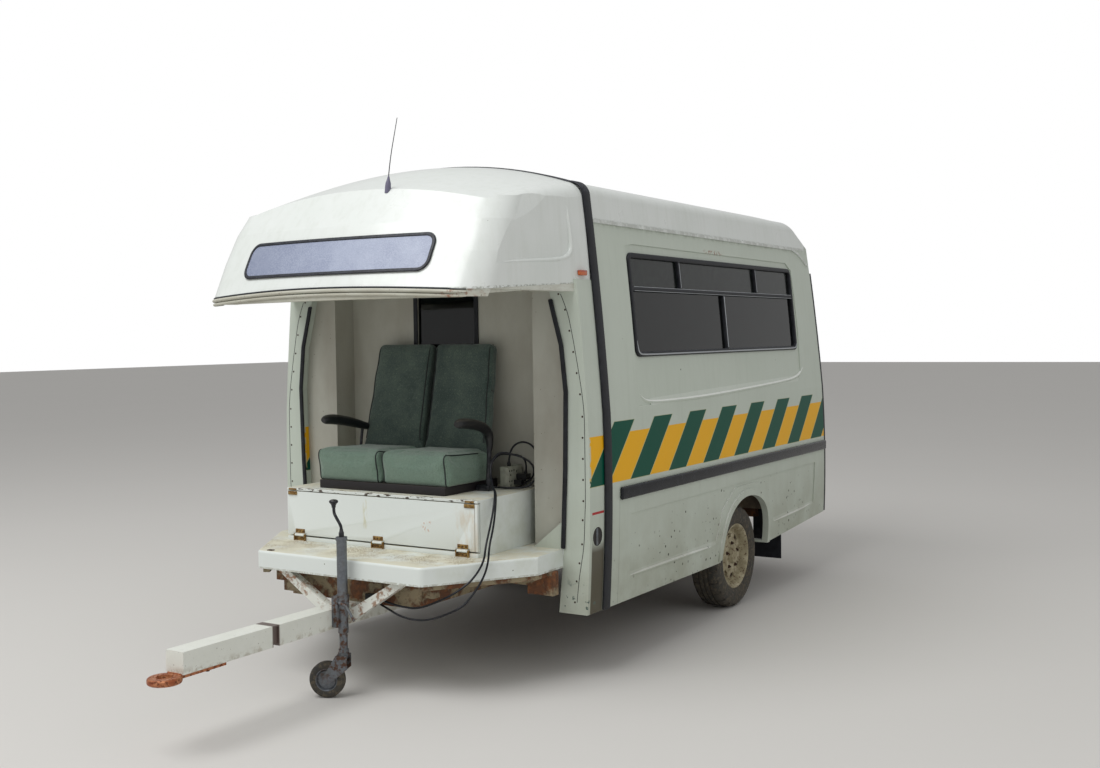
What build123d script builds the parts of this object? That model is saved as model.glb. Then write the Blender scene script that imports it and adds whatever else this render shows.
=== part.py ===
from build123d import *
import os
from math import atan2, cos, degrees, hypot, pi, radians, sin, tan

# Ambulance body cut behind the cab and set on a two-wheel trailer frame.
# Lengths are in millimetres. X is across (left side positive), Y runs to the rear, Z is up.
# Everything is drawn with Y = 0 at the seam where the body was cut, then moved to the frame below.

os.makedirs("parts", exist_ok=True)

# Overall length and frame

EYE_Y = -1905
EYE_RADIUS = 70
FRONT_TIP = EYE_Y - EYE_RADIUS
REAR_TIP = 3235
SHIFT_Y = -(FRONT_TIP + REAR_TIP) / 2

# Body shell

WALL = 30
BASE_Z = 326
BELT_Z = 1000
BELT_HALF = 980
BASE_HALF = BELT_HALF - 22
WAIST_Z = 1290
WAIST_HALF = BELT_HALF - 6
PANE_Z = 1790
PANE_HALF = BELT_HALF - 46
SHOULDER_Z = 2350
SHOULDER_HALF = BELT_HALF - 107
CORNER_MID = (BELT_HALF - 128, 2399)
ROOF_EDGE = (BELT_HALF - 180, 2418)
CROWN_Z = 2543
GUTTER_Z = 2233.5
GUTTER_PROUD = 9
GUTTER_LINE = [(34, 2233), (2735, 2233), (2846, 2206), (3000, 2132)]

REAR_LOW = (3150, 326)
REAR_HIGH = (3035, 2250)
SLOPE_TOP_Y = 2720
SLOPE_TOP_Z = 2415
REAR_FRAME_T = 45
TAIL_RISE = [(1344, 326), (2100, 341), (3250, 412)]

FLOOR_TOP = 577.5
FLOOR_T = 30
RAIL_TOP = FLOOR_TOP - FLOOR_T

# Limits beyond the body, for blocks that cut right through it

FAR_X = BELT_HALF + 120
FAR_Y = REAR_TIP + 165
FAR_Z = CROWN_Z + 157

# Seam strip and rub rail

STRIP_HALF = 35
STRIP_PROUD = 12
RUB_Z = 882
RUB_HALF_H = 32
RUB_PROUD = 18
RUB_FROM_Y = 125

# Side windows

WINDOW_Y = (364, 2664)
WINDOW_Z = (1556, 2095)
WINDOW_CORNER = 45
RUBBER_W = 26
TRANSOM_Z = 1908
TRANSOM_H = 22
UPPER_BARS = (955, 2044)
LOWER_BAR = 1524
BAR_W = 22
GLASS_T = 6

# Pressings in the side: depth, sloped lower edge, window surround and lower panel in Y and Z

PRESS_DEPTH = 7
LEDGE_H = 34
WINDOW_PRESS = [(352, 1303), (352, 2128), (430, 2140), (2600, 2133), (2690, 2085), (2714, 1700), (2700, 1400),
                (2625, 1336), (530, 1303)]
PANEL_PRESS = [(245, 446), (245, 767), (2940, 773), (2925, 490), (2195, 462), (2090, 640), (1900, 748),
               (1560, 748), (1390, 640), (1300, 446)]

# Wheels and arches

AXLE_Y = 1711
TYRE_RADIUS = 312
TYRE_WIDTH = 185
WHEEL_FACE_X = BELT_HALF - 55
RIM_RADIUS = 192
ARCH_LIP = [(1342, 300), (1391, 489), (1471, 615), (1614, 699), (1735, 721), (1829, 717), (1993, 673),
            (2099, 578), (2128, 479), (2112, 300)]
ARCH_MID = (1735, 300)
ARCH_OPENING = 0.9
LIP_PROUD = 9
WHEELBOX_IN = WHEEL_FACE_X - TYRE_WIDTH - 50
WHEELBOX_TOP = 760
WHEELBOX_Y = (AXLE_Y - 395, AXLE_Y + 405)
SPINDLE_RADIUS = 20
SPINDLE_END = WHEEL_FACE_X - 47
RUNNING_GAP = 0.05

# Pillars, seals and front wall

PILLAR_FRONT = -172
PILLAR_TOP = 1940
FOOT_X = BELT_HALF - 180
SEAL_LINE = [(BELT_HALF - 150, 640), (BELT_HALF - 132, 1026), (BELT_HALF - 124, 1400), (BELT_HALF - 147, 1626),
             (BELT_HALF - 192, 1795), (BELT_HALF - 215, 1890)]
SEAL_W = 24
SEAL_PROUD = 14
ALCOVE_Y = -130
ALCOVE_SIDE = 640
BULKHEAD_Y = 20
HATCH_HALF = 190
HATCH_Z = (1150, 2120)

# Cap over the cab

CAP_BASE_Z = 1925
CAP_WALL = 20
FLANGE_IN = 12
FLANGE_T = 6
POCKET = [(-900, 1988), (-290, 2020), (-205, 2038), (-178, 2085), (-176, 2170), (-182, 2400), (-420, 2400),
          (-900, 2300)]
POCKET_FLOOR = (BELT_HALF - 124, -520, 2030)
POCKET_FACING = (1, -0.096, 0.061)
HEADER_Z = 1848
HEADER_W = 70
SIGN_MID = 10
SIGN_HALF = 553
SIGN_Z = (1982, 2129)
SIGN_CORNER = 40
SIGN_RUBBER = 16
SIGN_PROUD = 6
AERIAL = (199, -687, 2390)

# Platform, box and seat

PLATFORM_TOP = 637
PLATFORM_T = PLATFORM_TOP - RAIL_TOP
PLATFORM_NOSE_Y = -883
PLATFORM_NOSE_HALF = 505
PLATFORM_WIDE_Y = -402
PLATFORM_WIDE_HALF = BELT_HALF - 155
PLATFORM_ROUND = 14
BOX_HALF = 601
BOX_FRONT = -567
BOX_TOP = 907
BOX_WALL = 18
SOCKET_BOX = ((BOX_HALF - 161, BOX_HALF - 121), (-142, 4), (BOX_TOP, BOX_TOP + 110))
SEAT_MID = -28
SEAT_HALF = 417

# Trailer frame

RAIL_X = 400
RAIL_W = 60
RAIL_H = 120
RAIL_FRONT = -780
BEAM_W = 103
BEAM_Z = (324, 417)
BEAM_FRONT = -1852
BEAM_REAR = 330
BEAM_JOINT_Y = -1330
BEAM_JOINT_GAP = 35
EYE_Z = 310
EYE_BORE = 34
EYE_T = 28
STRUT_Y = (-858, -818)

# Jockey leg

JOCKEY_X = 85
JOCKEY_Y = -930
JOCKEY_TUBE_Z = (305, 737)
JOCKEY_TUBE_R = 24
JOCKEY_LEG_R = 19
JOCKEY_WHEEL_R = 85
JOCKEY_WHEEL_W = 50
JOCKEY_TRAIL = 80
SWIVEL_R = 10
TRAIL_DIR = (-0.91, -0.4146)


def block(x, y, z):
    """A box from its (low, high) limits on each axis."""
    size = (x[1] - x[0], y[1] - y[0], z[1] - z[0])
    return Pos((x[0] + x[1]) / 2, (y[0] + y[1]) / 2, (z[0] + z[1]) / 2) * Box(*size)


def along_x(face, x0, x1):
    """Extrude a face drawn in Y and Z from x0 to x1."""
    placed = Plane(origin=(x0, 0, 0), x_dir=(0, 1, 0), z_dir=(1, 0, 0)) * face
    return extrude(placed, amount=x1 - x0, dir=(1, 0, 0))


def along_y(face, y0, y1):
    """Extrude a face drawn in X and Z from y0 to y1."""
    placed = Plane(origin=(0, y0, 0), x_dir=(1, 0, 0), z_dir=(0, -1, 0)) * face
    return extrude(placed, amount=y1 - y0, dir=(0, 1, 0))


def along_z(face, z0, z1):
    """Extrude a face drawn in X and Y from z0 to z1."""
    return extrude(Plane.XY.offset(z0) * face, amount=z1 - z0, dir=(0, 0, 1))


def polygon(points):
    """A flat face from its corner points."""
    return make_face(Polyline(*points, close=True))


def rod(start, end, radius):
    """A round bar between two points."""
    run = Vector(*end) - Vector(*start)
    return extrude(Plane(origin=start, z_dir=run) * Circle(radius), amount=run.length)


def mirrored(shape):
    """The same shape on the other side of the vehicle."""
    return mirror(shape, about=Plane.YZ)


def both_sides(shape):
    """A left-hand piece and its twin on the right, as one group of solids."""
    return Compound(children=[*shape.solids(), *mirrored(shape).solids()])


def save(name, shape):
    """Write one piece, moved to the part's frame."""
    solids = [s.moved(Location((0, SHIFT_Y, 0))) for s in shape.solids()]
    piece = solids[0] if len(solids) == 1 else Compound(children=solids)
    export_step(piece, f"parts/{name}.step")


# Body sections

def body_section(grow=0):
    """Outline of the body across its width, as a face in X and Z."""
    side_low = ThreePointArc((BASE_HALF, BASE_Z), (BELT_HALF, BELT_Z), (WAIST_HALF, WAIST_Z))
    side_high = ThreePointArc((WAIST_HALF, WAIST_Z), (PANE_HALF, PANE_Z), (SHOULDER_HALF, SHOULDER_Z))
    corner = ThreePointArc((SHOULDER_HALF, SHOULDER_Z), CORNER_MID, ROOF_EDGE)
    half_roof = ThreePointArc(ROOF_EDGE, (0, CROWN_Z), (-ROOF_EDGE[0], ROOF_EDGE[1]))
    right = [mirror(edge, about=Plane.YZ) for edge in (side_low, side_high, corner)]
    base = Line((-BASE_HALF, BASE_Z), (BASE_HALF, BASE_Z))
    face = make_face([side_low, side_high, corner, half_roof, *right, base])
    return offset(face, amount=grow, kind=Kind.INTERSECTION) if grow else face


def rear_line(z, back=0):
    """Y of the leaning rear face at a height, moved forward by back."""
    share = (z - REAR_LOW[1]) / (REAR_HIGH[1] - REAR_LOW[1])
    return REAR_LOW[0] + share * (REAR_HIGH[0] - REAR_LOW[0]) - back


def side_outline(inset=0):
    """Outline of the body seen from the side, as a face in Y and Z."""
    slope = (REAR_HIGH[1] - SLOPE_TOP_Z) / (REAR_HIGH[0] - SLOPE_TOP_Y)
    drop = inset * hypot(1, slope)
    top = FAR_Z
    start_y = SLOPE_TOP_Y + (top + drop - SLOPE_TOP_Z) / slope
    lean = inset * 1.5
    corner_z = REAR_HIGH[1] - drop + slope * (-lean)
    return polygon([(-10, 200), (-10, top), (start_y, top), (rear_line(corner_z, lean), corner_z),
                    (rear_line(200, lean), 200)])


def make_body():
    """Outer solid, hollow inside and the slab that the rear frame takes."""
    outer = along_y(body_section(), 0, FAR_Y) & along_x(side_outline(), -FAR_X, FAR_X)
    rise = polygon([TAIL_RISE[0], TAIL_RISE[1], TAIL_RISE[2], (TAIL_RISE[2][0], 250), (TAIL_RISE[0][0], 250)])
    outer -= along_x(rise, -FAR_X, FAR_X)
    hollow_face = body_section(-WALL) + Pos(0, 300) * Rectangle(2 * (BASE_HALF - WALL), 200)
    hollow = along_y(hollow_face, -10, FAR_Y) & along_x(side_outline(WALL), -FAR_X, FAR_X)
    slab = along_x(polygon([(rear_line(200, REAR_FRAME_T), 200), (rear_line(FAR_Z, REAR_FRAME_T), FAR_Z),
                            (FAR_Y, FAR_Z), (FAR_Y, 200)]), -FAR_X, FAR_X)
    return outer, hollow, slab


OUTER, HOLLOW, REAR_SLAB = make_body()
SHELL = OUTER - HOLLOW


def window_face(grow=0):
    """The side window's opening as a face in Y and Z."""
    length = WINDOW_Y[1] - WINDOW_Y[0] + 2 * grow
    height = WINDOW_Z[1] - WINDOW_Z[0] + 2 * grow
    centre = Pos(sum(WINDOW_Y) / 2, sum(WINDOW_Z) / 2)
    return centre * RectangleRounded(length, height, WINDOW_CORNER + grow)


def arch_face(scale=1.0):
    """The wheel arch's lip, or the opening inside it when scaled, as a face in Y and Z."""
    my, mz = ARCH_MID
    points = [(my + scale * (y - my), mz + scale * (z - mz)) for y, z in ARCH_LIP]
    return make_face([Spline(*points), Line(points[-1], points[0])])


def side_x(z):
    """X of the body's side at a height, below the waist."""
    share = (z - BASE_Z) / (WAIST_Z - BASE_Z)
    bulge = BELT_HALF - (BASE_HALF + WAIST_HALF) / 2
    return BASE_HALF + share * (WAIST_HALF - BASE_HALF) + 4 * bulge * share * (1 - share)


def ledge(start, end):
    """Wedge that slopes the lower edge of a pressing between two points in Y and Z."""
    length = hypot(end[0] - start[0], end[1] - start[1])
    x = side_x(start[1])
    wedge = along_y(polygon([(x - PRESS_DEPTH - 6, -20), (x - PRESS_DEPTH - 6, LEDGE_H + 15), (x + 4, -20)]), -40,
                    length + 40)
    tilt = degrees(atan2(end[1] - start[1], end[0] - start[0]))
    return Pos(0, start[0], start[1]) * Rot(tilt, 0, 0) * wedge


def pressing(outline, edges):
    """Shallow pressing in the body's side, cut from its skin."""
    skin = along_y(body_section(20) - body_section(-PRESS_DEPTH), 0, FAR_Y)
    cut = skin & along_x(polygon(outline), 0, FAR_X)
    for start, end in edges:
        cut -= ledge(start, end)
    return cut


def left_side_panel():
    """Side panel with its window, pressings and flared wheel arch."""
    panel = SHELL & block((0, FAR_X), (0, FAR_Y), (0, GUTTER_Z))
    panel -= REAR_SLAB
    panel -= pressing(WINDOW_PRESS, [(WINDOW_PRESS[-1], WINDOW_PRESS[-2])])
    low = PANEL_PRESS
    panel -= pressing(low, [(low[0], low[-1]), (low[4], low[3])])
    lip = along_y(body_section(LIP_PROUD) - body_section(-WALL), 0, FAR_Y)
    panel += lip & along_x(arch_face(), 700, FAR_X) & block((700, FAR_X), (0, FAR_Y), (BASE_Z + 14, GUTTER_Z))
    panel -= along_x(window_face(), 700, FAR_X)
    return panel - along_x(arch_face(ARCH_OPENING), 700, FAR_X)


def roof_panel():
    """Roof with its shoulders down to the gutters."""
    roof = (SHELL & block((-FAR_X, FAR_X), (0, FAR_Y), (GUTTER_Z, FAR_Z))) - REAR_SLAB
    band = polygon([(y, z - 8) for y, z in GUTTER_LINE] + [(y, z + 8) for y, z in reversed(GUTTER_LINE)])
    skin = along_y(body_section(GUTTER_PROUD) - body_section(), STRIP_HALF, FAR_Y)
    return roof + (skin & along_x(band, -FAR_X, FAR_X))


# Rear frame and doors, drawn upright behind Y = 0 and then leaned

REAR_LEAN = degrees(atan2(REAR_LOW[0] - REAR_HIGH[0], REAR_HIGH[1] - REAR_LOW[1]))
DOOR_HALF = 780
DOOR_Z = (595, 2130)
DOOR_GAP = 6
DOOR_T = 38
DOOR_WINDOW = (150, 640, 1370, 1960)
HINGE_OUT = 12
HINGE_R = 8
HINGE_PIN_R = 4
HINGE_H = 90


def leaned(shape):
    """Move a shape drawn against an upright rear face on to the leaning one."""
    return Pos(0, REAR_LOW[0], REAR_LOW[1]) * Rot(REAR_LEAN, 0, 0) * Pos(0, 0, -REAR_LOW[1]) * shape


def hinge_heights():
    """Middles of a door's three hinges."""
    low, high = DOOR_Z
    return (low + 200, (low + high) / 2, high - 200)


def rear_frame():
    """Rear wall with its doorway and the doors' hinge pins."""
    doorway = leaned(block((-DOOR_HALF, DOOR_HALF), (-200, 200), DOOR_Z))
    frame = (OUTER & REAR_SLAB) - doorway
    x = DOOR_HALF - DOOR_GAP / 2
    for z in hinge_heights():
        pin = Pos(x, HINGE_OUT, z) * Cylinder(HINGE_PIN_R, HINGE_H + 16)
        for side in (-1, 1):
            mid = z + side * (HINGE_H / 2 + 5)
            pin += block((x - 5, x + 50), (0, HINGE_OUT + 5), (mid - 4, mid + 4))
            pin -= block((x - 9, DOOR_HALF), (-5, 4), (mid - 9, mid + 9))
        frame += leaned(pin + mirrored(pin))
    return frame


def rear_door_left():
    """Left leaf with its window and hinge knuckles."""
    low, high = DOOR_Z
    leaf = block((DOOR_GAP / 2, DOOR_HALF - DOOR_GAP), (-DOOR_T, 0), (low + DOOR_GAP, high - DOOR_GAP))
    x0, x1, z0, z1 = DOOR_WINDOW
    leaf -= block((x0, x1), (-100, 100), (z0, z1))
    axis_x = DOOR_HALF - DOOR_GAP / 2
    for z in hinge_heights():
        leaf += block((axis_x - 90, axis_x), (-2, HINGE_OUT - 4), (z - HINGE_H / 2, z + HINGE_H / 2))
        leaf += Pos(axis_x, HINGE_OUT, z) * Cylinder(HINGE_R, HINGE_H)
        leaf -= Pos(axis_x, HINGE_OUT, z) * Cylinder(HINGE_PIN_R + RUNNING_GAP, HINGE_H + 20)
    return leaned(leaf)


def rear_glass_left():
    """Pane of the left leaf."""
    x0, x1, z0, z1 = DOOR_WINDOW
    return leaned(block((x0, x1), (-24, -14), (z0, z1)))


def rear_lamps():
    """Lamp clusters on the rear corner posts."""
    lamp = block((840, 915), (0, 26), (620, 860))
    return both_sides(leaned(lamp))


def rear_corner_trims():
    """Black strips down the rear corners."""
    ring = along_y(body_section() - body_section(-26), 0, FAR_Y)
    band = polygon([(rear_line(410), 410), (rear_line(410, -28), 410), (rear_line(2080, -28), 2080),
                    (rear_line(2080), 2080)])
    return both_sides(ring & along_x(band, 0, FAR_X))


def rear_step():
    """Step across the back, below the doors."""
    deck = block((-560, 560), (2990, REAR_TIP), (360, 390))
    arms = block((RAIL_X - 30, RAIL_X + 30), (2900, 3060), (390, RAIL_TOP - RAIL_H))
    return deck + arms + mirrored(arms)


# Floor, front wall and seat bay

def floor_panel():
    """Load floor with boxes over the wheels."""
    inside = HOLLOW & block((-FAR_X, FAR_X), (0, FAR_Y), (RAIL_TOP, FLOOR_TOP))
    deck = inside - REAR_SLAB
    y0, y1 = WHEELBOX_Y
    well = block((WHEELBOX_IN, FAR_X), (y0, y1), (RAIL_TOP - 1, FLOOR_TOP + 1))
    deck -= well + mirrored(well)
    box = block((WHEELBOX_IN - 15, FAR_X), (y0 - 15, y1 + 15), (RAIL_TOP, WHEELBOX_TOP))
    box -= block((WHEELBOX_IN, FAR_X), (y0, y1), (0, WHEELBOX_TOP - 15))
    box = box & HOLLOW
    return deck + box + mirrored(box)


def front_bulkhead():
    """Wall behind the seat with its hatch, and the returns beside the seat."""
    wall = HOLLOW & block((-FAR_X, FAR_X), (BULKHEAD_Y, BULKHEAD_Y + WALL), (FLOOR_TOP, FAR_Z))
    hatch_z = HATCH_Z
    wall -= block((-HATCH_HALF, HATCH_HALF), (0, 200), hatch_z)
    face = [*SEAL_LINE]
    inner = [(ALCOVE_SIDE, face[-1][1]), (ALCOVE_SIDE, face[0][1])]
    panel = along_y(polygon(face + inner), ALCOVE_Y, ALCOVE_Y + 20)
    side = block((ALCOVE_SIDE, ALCOVE_SIDE + 20), (ALCOVE_Y, BULKHEAD_Y), (face[0][1], face[-1][1]))
    returns = panel + side
    return wall + returns + mirrored(returns)


def hatch_glass():
    """Dark pane in the hatch."""
    y = BULKHEAD_Y + WALL / 2
    return block((-HATCH_HALF, HATCH_HALF), (y - 4, y + 4), HATCH_Z)


def front_pillar():
    """Left front pillar from its foot to the cap, with the gusset at the platform."""
    edge = polygon([(FOOT_X, BASE_Z), *SEAL_LINE, (SEAL_LINE[-1][0], PILLAR_TOP), (FAR_X, PILLAR_TOP),
                    (FAR_X, BASE_Z)])
    pillar = along_y(body_section() & edge, PILLAR_FRONT, 0)
    low, high = SEAL_LINE[0][1], SEAL_LINE[-1][1]
    pillar -= block((0, FAR_X), (ALCOVE_Y + 20, 5), (low, high)) & along_y(body_section(-WALL), -200, 10)
    x = SEAL_LINE[0][0]
    gusset = polygon([(x - 170, PLATFORM_TOP), (x + 4, PLATFORM_TOP), (x + 10, PLATFORM_TOP + 148)])
    pillar += along_y(gusset, PILLAR_FRONT, PILLAR_FRONT + 12)
    return pillar - cap_solid()


# Cap over the cab

CAP_SECTIONS = [
    # y, base in from the belt, base z, rise, shoulder in, shoulder z, roof edge in, roof edge z, crown z, bulge
    (0, 58, CAP_BASE_Z, 2, 105, SHOULDER_Z + 6, 180, ROOF_EDGE[1] + 9, CROWN_Z + 10, 14),
    (-250, 85, 1914, 8, 112, 2318, 200, 2392, 2517, 18),
    (-520, 108, 1900, 15, 130, 2262, 225, 2332, 2438, 26),
    (-760, 134, 1884, 26, 154, 2180, 250, 2262, 2352, 34),
    (-1010, 165, 1874, 34, 175, 2095, 280, 2190, 2290, 36),
]
# Plan of the cap: height, then how far its sides and its front lie in from the rim
CAP_LEVELS = [(1840, 0, -12), (1890, 0, 0), (2052, -6, 82), (2200, 2, 160), (2650, 60, 480)]
CAP_SIDE = (BELT_HALF - 138, -735)
CAP_CORNER = (BELT_HALF - 183, -845)
CAP_BROW = (BELT_HALF - 290, -900)
CAP_NOSE_Y = -972


def arc_point(p0, p1, bulge):
    """Middle of an arc between two points, pushed outwards by bulge."""
    run = hypot(p1[0] - p0[0], p1[1] - p0[1])
    normal = ((p1[1] - p0[1]) / run, -(p1[0] - p0[0]) / run)
    return ((p0[0] + p1[0]) / 2 + bulge * normal[0], (p0[1] + p1[1]) / 2 + bulge * normal[1])


def cap_wire(section, inset):
    """One section of the cap, in X and Z."""
    _, base_in, base_z, rise, side_in, side_z, edge_in, edge_z, crown, bulge = section
    lower = CAP_WALL if inset else 0
    foot = (BELT_HALF - base_in - inset, base_z - lower)
    shoulder = (BELT_HALF - side_in - inset, side_z - inset / 2)
    edge = (BELT_HALF - edge_in - inset / 2, edge_z - inset)
    side = ThreePointArc(foot, arc_point(foot, shoulder, 4), shoulder)
    corner = ThreePointArc(shoulder, arc_point(shoulder, edge, bulge), edge)
    top = ThreePointArc(edge, (0, crown - inset), (-edge[0], edge[1]))
    left = [mirror(part, about=Plane.YZ) for part in (side, corner)]
    base = ThreePointArc((-foot[0], foot[1]), (0, foot[1] + rise), foot)
    return make_face([side, corner, top, *left, base])


def cap_plan(z, inset, side_in=0, front_in=0):
    """Plan of the cap at a height: tapering sides and a bowed front."""
    back = (BELT_HALF - 50 - inset, 10)
    side = (CAP_SIDE[0] - inset - side_in, CAP_SIDE[1] + front_in)
    corner = (CAP_CORNER[0] - inset - side_in, CAP_CORNER[1] + inset + front_in)
    brow = (CAP_BROW[0] - inset - side_in, CAP_BROW[1] + inset + front_in)
    edges = [Line(back, side), ThreePointArc(side, corner, brow)]
    twins = [mirror(edge, about=Plane.YZ) for edge in edges]
    front = ThreePointArc(brow, (0, CAP_NOSE_Y + inset + front_in), (-brow[0], brow[1]))
    return Pos(0, 0, z) * make_face([*edges, front, *twins, Line((-back[0], back[1]), back)])


def cap_drum(inset=0):
    """Upright sides and leaning front of the cap."""
    return loft([cap_plan(z, inset, side_in, front_in) for z, side_in, front_in in CAP_LEVELS], ruled=True)


def cap_solid(inset=0):
    """The cap's outer form, or its hollow when inset."""
    faces = []
    for section in CAP_SECTIONS:
        place = Plane(origin=(0, section[0], 0), x_dir=(1, 0, 0), z_dir=(0, -1, 0))
        faces.append(place * cap_wire(section, inset))
    return loft(faces) & cap_drum(inset)


def pod_shell():
    """Moulded cap over the cab, open below and behind, with a pocket in each side."""
    outer = cap_solid()
    shell = (outer - cap_solid(CAP_WALL)) & block((-FAR_X, FAR_X), (-1200, -STRIP_HALF), (0, FAR_Z))
    flange = along_y(body_section(-FLANGE_IN) - body_section(-FLANGE_IN - FLANGE_T), -STRIP_HALF, 0)
    floor = Plane(origin=POCKET_FLOOR, x_dir=(0, POCKET_FACING[2], -POCKET_FACING[1]), z_dir=POCKET_FACING)
    pocket = extrude(floor * Rectangle(3000, 3000), amount=200, dir=POCKET_FACING)
    pocket &= along_x(polygon(POCKET), 0, FAR_X)
    return shell - pocket - mirrored(pocket) + (flange & outer)


# Trim

def seam_strip():
    """Black strip over the seam, round the body."""
    ring = body_section(STRIP_PROUD) - body_section()
    strip = along_y(ring, -STRIP_HALF, STRIP_HALF)
    return strip & block((-FAR_X, FAR_X), (-100, 100), (BASE_Z, FAR_Z))


def rub_rails():
    """Half-round rail along each side."""
    skin = along_y(body_section(RUB_PROUD) - body_section(), RUB_FROM_Y, FAR_Y)
    rail = skin & block((0, FAR_X), (RUB_FROM_Y, rear_line(RUB_Z)), (RUB_Z - RUB_HALF_H, RUB_Z + RUB_HALF_H))
    return both_sides(rail)


def side_window_frames():
    """Rubber surround and bars of the side windows."""
    ring = window_face() - window_face(-RUBBER_W)
    bars = Pos(sum(WINDOW_Y) / 2, TRANSOM_Z) * Rectangle(WINDOW_Y[1] - WINDOW_Y[0] - RUBBER_W, TRANSOM_H)
    for y in UPPER_BARS:
        bars += Pos(y, (TRANSOM_Z + WINDOW_Z[1]) / 2) * Rectangle(BAR_W, WINDOW_Z[1] - TRANSOM_Z - RUBBER_W)
    bars += Pos(LOWER_BAR, (TRANSOM_Z + WINDOW_Z[0]) / 2) * Rectangle(BAR_W, TRANSOM_Z - WINDOW_Z[0] - RUBBER_W)
    wall = along_y(body_section(6) - body_section(-WALL), 0, FAR_Y)
    return both_sides(along_x(ring + bars, 700, FAR_X) & wall)


def side_window_glass():
    """Panes of the side windows."""
    pane = along_x(window_face(-RUBBER_W), 700, FAR_X)
    pane &= along_y(body_section(-12) - body_section(-12 - GLASS_T), 0, FAR_Y)
    frames = side_window_frames().solids()[0]
    return both_sides(pane - frames)


def door_seals():
    """Rubber seals along the inner edges of the pillars."""
    line = Polyline(*SEAL_LINE)
    seal = along_y(trace(line, SEAL_W), PILLAR_FRONT - SEAL_PROUD, PILLAR_FRONT)
    seal &= block((0, FAR_X), (-400, 0), (PLATFORM_TOP, HEADER_Z))
    return both_sides(seal)


def header_rails():
    """Rail under the cap's rim: along the door tops and across the front."""
    ring = cap_plan(0, 3) - cap_plan(0, HEADER_W)
    rail = along_z(ring, HEADER_Z, CAP_BASE_Z + 20) - cap_solid() - cap_solid(CAP_WALL)
    return rail & block((-FAR_X, FAR_X), (-1200, PILLAR_FRONT), (0, 2000))


def cap_skin(face, proud):
    """A plate on the front of the cap, cut to a face in X and Z."""
    return (cap_drum(-proud) & along_y(face, -1100, -600)) - cap_solid()


def sign_face(grow=0):
    """Outline of the sign, in X and Z."""
    centre = Pos(SIGN_MID, sum(SIGN_Z) / 2)
    height = SIGN_Z[1] - SIGN_Z[0] + 2 * grow
    return centre * RectangleRounded(2 * (SIGN_HALF + grow), height, SIGN_CORNER + grow)


def sign_panel():
    """Blank sign on the front of the cap."""
    return cap_skin(sign_face(), SIGN_PROUD)


def sign_surround():
    """Rubber surround of the sign."""
    return cap_skin(sign_face(SIGN_RUBBER) - sign_face(), SIGN_PROUD + 4)


def marker_lamps():
    """Amber lamps on the cap's sides."""
    return both_sides(Pos(BELT_HALF - 66, -105, 1972) * Box(24, 62, 26) - cap_solid())


def aerial():
    """Whip aerial on the cap."""
    x, y, z = AERIAL
    foot = Pos(x, y, z) * Cone(13, 4, 80)
    return foot + rod((x + 5, y, z + 28), (x + 65, y, 2699), 3) - cap_solid()


# Platform, storage box and seat

def platform():
    """Deck in front of the bulkhead, its outer edges rounded."""
    inner = SEAL_LINE[0][0]
    half = [(PLATFORM_NOSE_HALF, PLATFORM_NOSE_Y), (PLATFORM_WIDE_HALF, PLATFORM_WIDE_Y),
            (PLATFORM_WIDE_HALF, PILLAR_FRONT), (FOOT_X, PILLAR_FRONT), (FOOT_X, 0)]
    deck = along_z(polygon(half + [(-x, y) for x, y in reversed(half)]), RAIL_TOP, PLATFORM_TOP)
    deck = fillet(deck.edges().filter_by(Axis.Z).group_by(Axis.Y)[0], 3 * PLATFORM_ROUND)
    rim = deck.faces().sort_by(Axis.Z)[-1].edges().filter_by(lambda e: e.center().Y < PLATFORM_WIDE_Y + 60)
    deck = fillet(rim, PLATFORM_ROUND)
    sides = block((FOOT_X, inner), (PILLAR_FRONT, 0), (SEAL_LINE[0][1] - 40, PLATFORM_TOP)) - front_pillar()
    return deck if not sides.solids() else deck + sides + mirrored(sides)


FLAP_T = 18
FLAP_GAP = 5
SILL_TOP = PLATFORM_TOP + 20
LINTEL_H = 14
FLAP_PIN = (BOX_FRONT - 6, SILL_TOP + 8)
FLAP_PIN_R = 3
FLAP_HINGES = (-515, 0, 515)
HINGE_W = 60


def storage_box():
    """Box under the seat, open at the front."""
    front = BOX_FRONT + FLAP_T + FLAP_GAP
    outer = block((-BOX_HALF, BOX_HALF), (front, BULKHEAD_Y), (PLATFORM_TOP, BOX_TOP))
    inner = block((-BOX_HALF + BOX_WALL, BOX_HALF - BOX_WALL), (front - 1, BULKHEAD_Y - BOX_WALL),
                  (PLATFORM_TOP + BOX_WALL, BOX_TOP - BOX_WALL))
    sill = block((-BOX_HALF, BOX_HALF), (BOX_FRONT, front), (PLATFORM_TOP, SILL_TOP))
    lintel = block((-BOX_HALF, BOX_HALF), (BOX_FRONT, front), (BOX_TOP - LINTEL_H, BOX_TOP))
    return outer - inner + sill + lintel


def storage_flap():
    """Drop-down front of the box, with a knuckle for each hinge."""
    flap = block((-BOX_HALF, BOX_HALF), (BOX_FRONT, BOX_FRONT + FLAP_T), (FLAP_PIN[1], BOX_TOP - LINTEL_H - 4))
    for x in FLAP_HINGES:
        notch = block((x - HINGE_W / 2 - 12, x + HINGE_W / 2 + 12), (BOX_FRONT - 20, BOX_FRONT + 3),
                      (600, FLAP_PIN[1] + 11))
        knuckle = rod((x - HINGE_W / 2, *FLAP_PIN), (x + HINGE_W / 2, *FLAP_PIN), 6)
        leaf = block((x - HINGE_W / 2, x + HINGE_W / 2), (FLAP_PIN[0], BOX_FRONT + 4),
                     (FLAP_PIN[1], FLAP_PIN[1] + 24))
        leaf -= block((-999, 999), (-999, BOX_FRONT - 2), (FLAP_PIN[1] + 7, 999))
        bore = rod((x - HINGE_W, *FLAP_PIN), (x + HINGE_W, *FLAP_PIN), FLAP_PIN_R + RUNNING_GAP)
        flap = flap - notch + knuckle + leaf - bore
    return flap


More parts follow.
